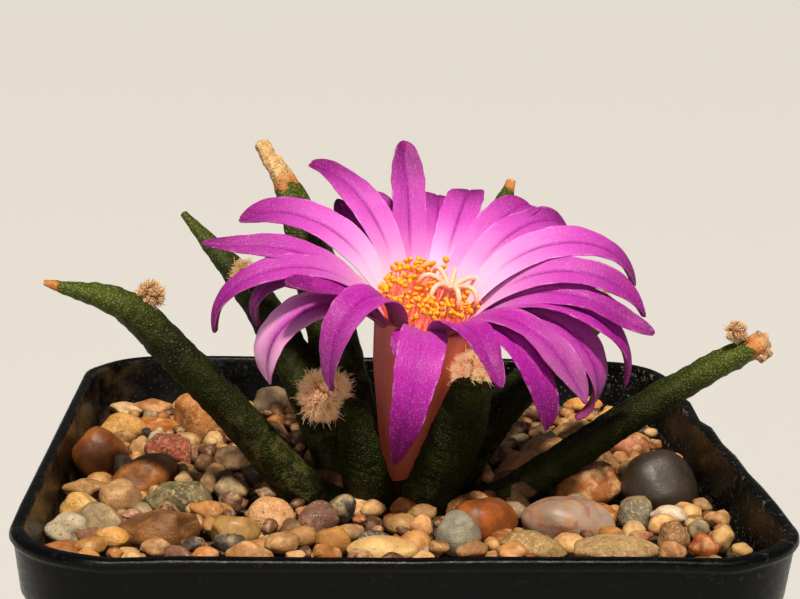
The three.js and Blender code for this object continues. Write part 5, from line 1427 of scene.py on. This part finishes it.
class MakePistil(Builder, bpy.types.Operator):
    """Raise the style with its stigma lobes over the stamens"""
    bl_idname = "rock_cactus.pistil"
    bl_label = "Pistil"

    def execute(self, context):
        paint = stigma_paint((*context.scene.rock_cactus_flower.stigma_colour, 1))
        make_piece("style_and_stigma", pistil(lobes=7), paint, "stigma", "pistil", marks=("along",))
        return {"FINISHED"}


class SetStage(Builder, bpy.types.Operator):
    """Set up the pale floor, the studio lights and the camera"""
    bl_idname = "rock_cactus.stage"
    bl_label = "Floor, lights and camera"

    def execute(self, context):
        scene, look = context.scene, context.scene.rock_cactus_stage
        mesh = bpy.data.meshes.new("floor")
        corners = [(x * look.reach, y * look.reach, 0) for x, y in ((-1, -1), (1, -1), (1, 1), (-1, 1))]
        mesh.from_pydata(corners, [], [(0, 1, 2, 3)])
        mesh.materials.append(floor_paint(look.floor))
        floor = bpy.data.objects.new("floor", mesh)
        scene.collection.objects.link(floor)
        self.lamp(scene, "key_light", look.key, *KEY_LIGHT)
        self.lamp(scene, "fill_light", look.fill, *FILL_LIGHT)
        world = scene.world or bpy.data.worlds.new("studio")
        scene.world = world
        world.use_nodes = True
        background = world.node_tree.nodes["Background"]
        background.inputs["Color"].default_value = AIR_COLOUR
        background.inputs["Strength"].default_value = look.air
        scene.view_settings.view_transform = "Standard"
        self.camera(scene, look.lens)
        return {"FINISHED"}

    def add(self, scene, name, data, axes, place):
        """Object at a place, turned so that its own axes point along the three given ones."""
        thing = bpy.data.objects.new(name, data)
        thing.matrix_world = Matrix([*np.column_stack([*axes, place]).tolist(), (0, 0, 0, 1)])
        scene.collection.objects.link(thing)
        return thing

    def lamp(self, scene, name, strength, place, spread, colour):
        """Far-off light from the direction of a place; its disc covers the spread, in degrees."""
        data = bpy.data.lights.new(name, "SUN")
        data.energy, data.angle, data.color = strength, np.radians(spread), colour
        back = unit(np.array(place, float))
        level = unit(np.cross(UP, back))
        self.add(scene, name, data, (level, np.cross(back, level), back), place)

    def camera(self, scene, lens):
        """Camera in front of the rim, turned by its yaw, pitch and roll."""
        yaw, pitch, roll = np.radians(CAMERA_TURNS)
        forward = np.array([np.sin(yaw) * np.cos(pitch), np.cos(yaw) * np.cos(pitch), np.sin(pitch)])
        level = np.array([np.cos(yaw), -np.sin(yaw), 0])
        upright = np.cross(level, forward)
        right = np.cos(roll) * level + np.sin(roll) * upright
        up = -np.sin(roll) * level + np.cos(roll) * upright
        data = bpy.data.cameras.new("camera")
        data.lens, data.sensor_width, data.clip_start = lens, 36, 0.01
        scene.camera = self.add(scene, "camera", data, (right, up, -forward), CAMERA_PLACE)


OPERATORS = [MakePot, DressSoil, MakeGravel, MakeStones, MakePlant, MakeWool, MakeFloralTube, MakePetals,
             MakeStamens, MakePistil, SetStage]
SETTINGS = {"rock_cactus_pot": RockCactusPot, "rock_cactus_dressing": RockCactusDressing,
            "rock_cactus_plant": RockCactusPlant, "rock_cactus_flower": RockCactusFlower,
            "rock_cactus_stage": RockCactusStage}


class RockCactusPanel(bpy.types.Panel):
    """Lists the pieces of the potted cactus and their sizes and colours"""
    bl_idname = "VIEW3D_PT_rock_cactus"
    bl_label = "Rock cactus"
    bl_space_type = "VIEW_3D"
    bl_region_type = "UI"
    bl_category = "Rock cactus"

    def draw(self, context):
        for operator in OPERATORS:
            self.layout.operator(operator.bl_idname)
        for name, group in SETTINGS.items():
            box = self.layout.box()
            box.label(text=name.replace("rock_cactus_", "").capitalize())
            for field in group.__annotations__:
                box.prop(getattr(context.scene, name), field)


def register():
    for kind in [*SETTINGS.values(), *OPERATORS, RockCactusPanel]:
        bpy.utils.register_class(kind)
    for name, group in SETTINGS.items():
        setattr(bpy.types.Scene, name, bpy.props.PointerProperty(type=group))


def unregister():
    for name in SETTINGS:
        delattr(bpy.types.Scene, name)
    for kind in reversed([*SETTINGS.values(), *OPERATORS, RockCactusPanel]):
        bpy.utils.unregister_class(kind)


def main():
    register()
    for operator in OPERATORS:
        group, name = operator.bl_idname.split(".")
        getattr(getattr(bpy.ops, group), name)()
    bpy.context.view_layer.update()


if __name__ == "__main__":
    main()
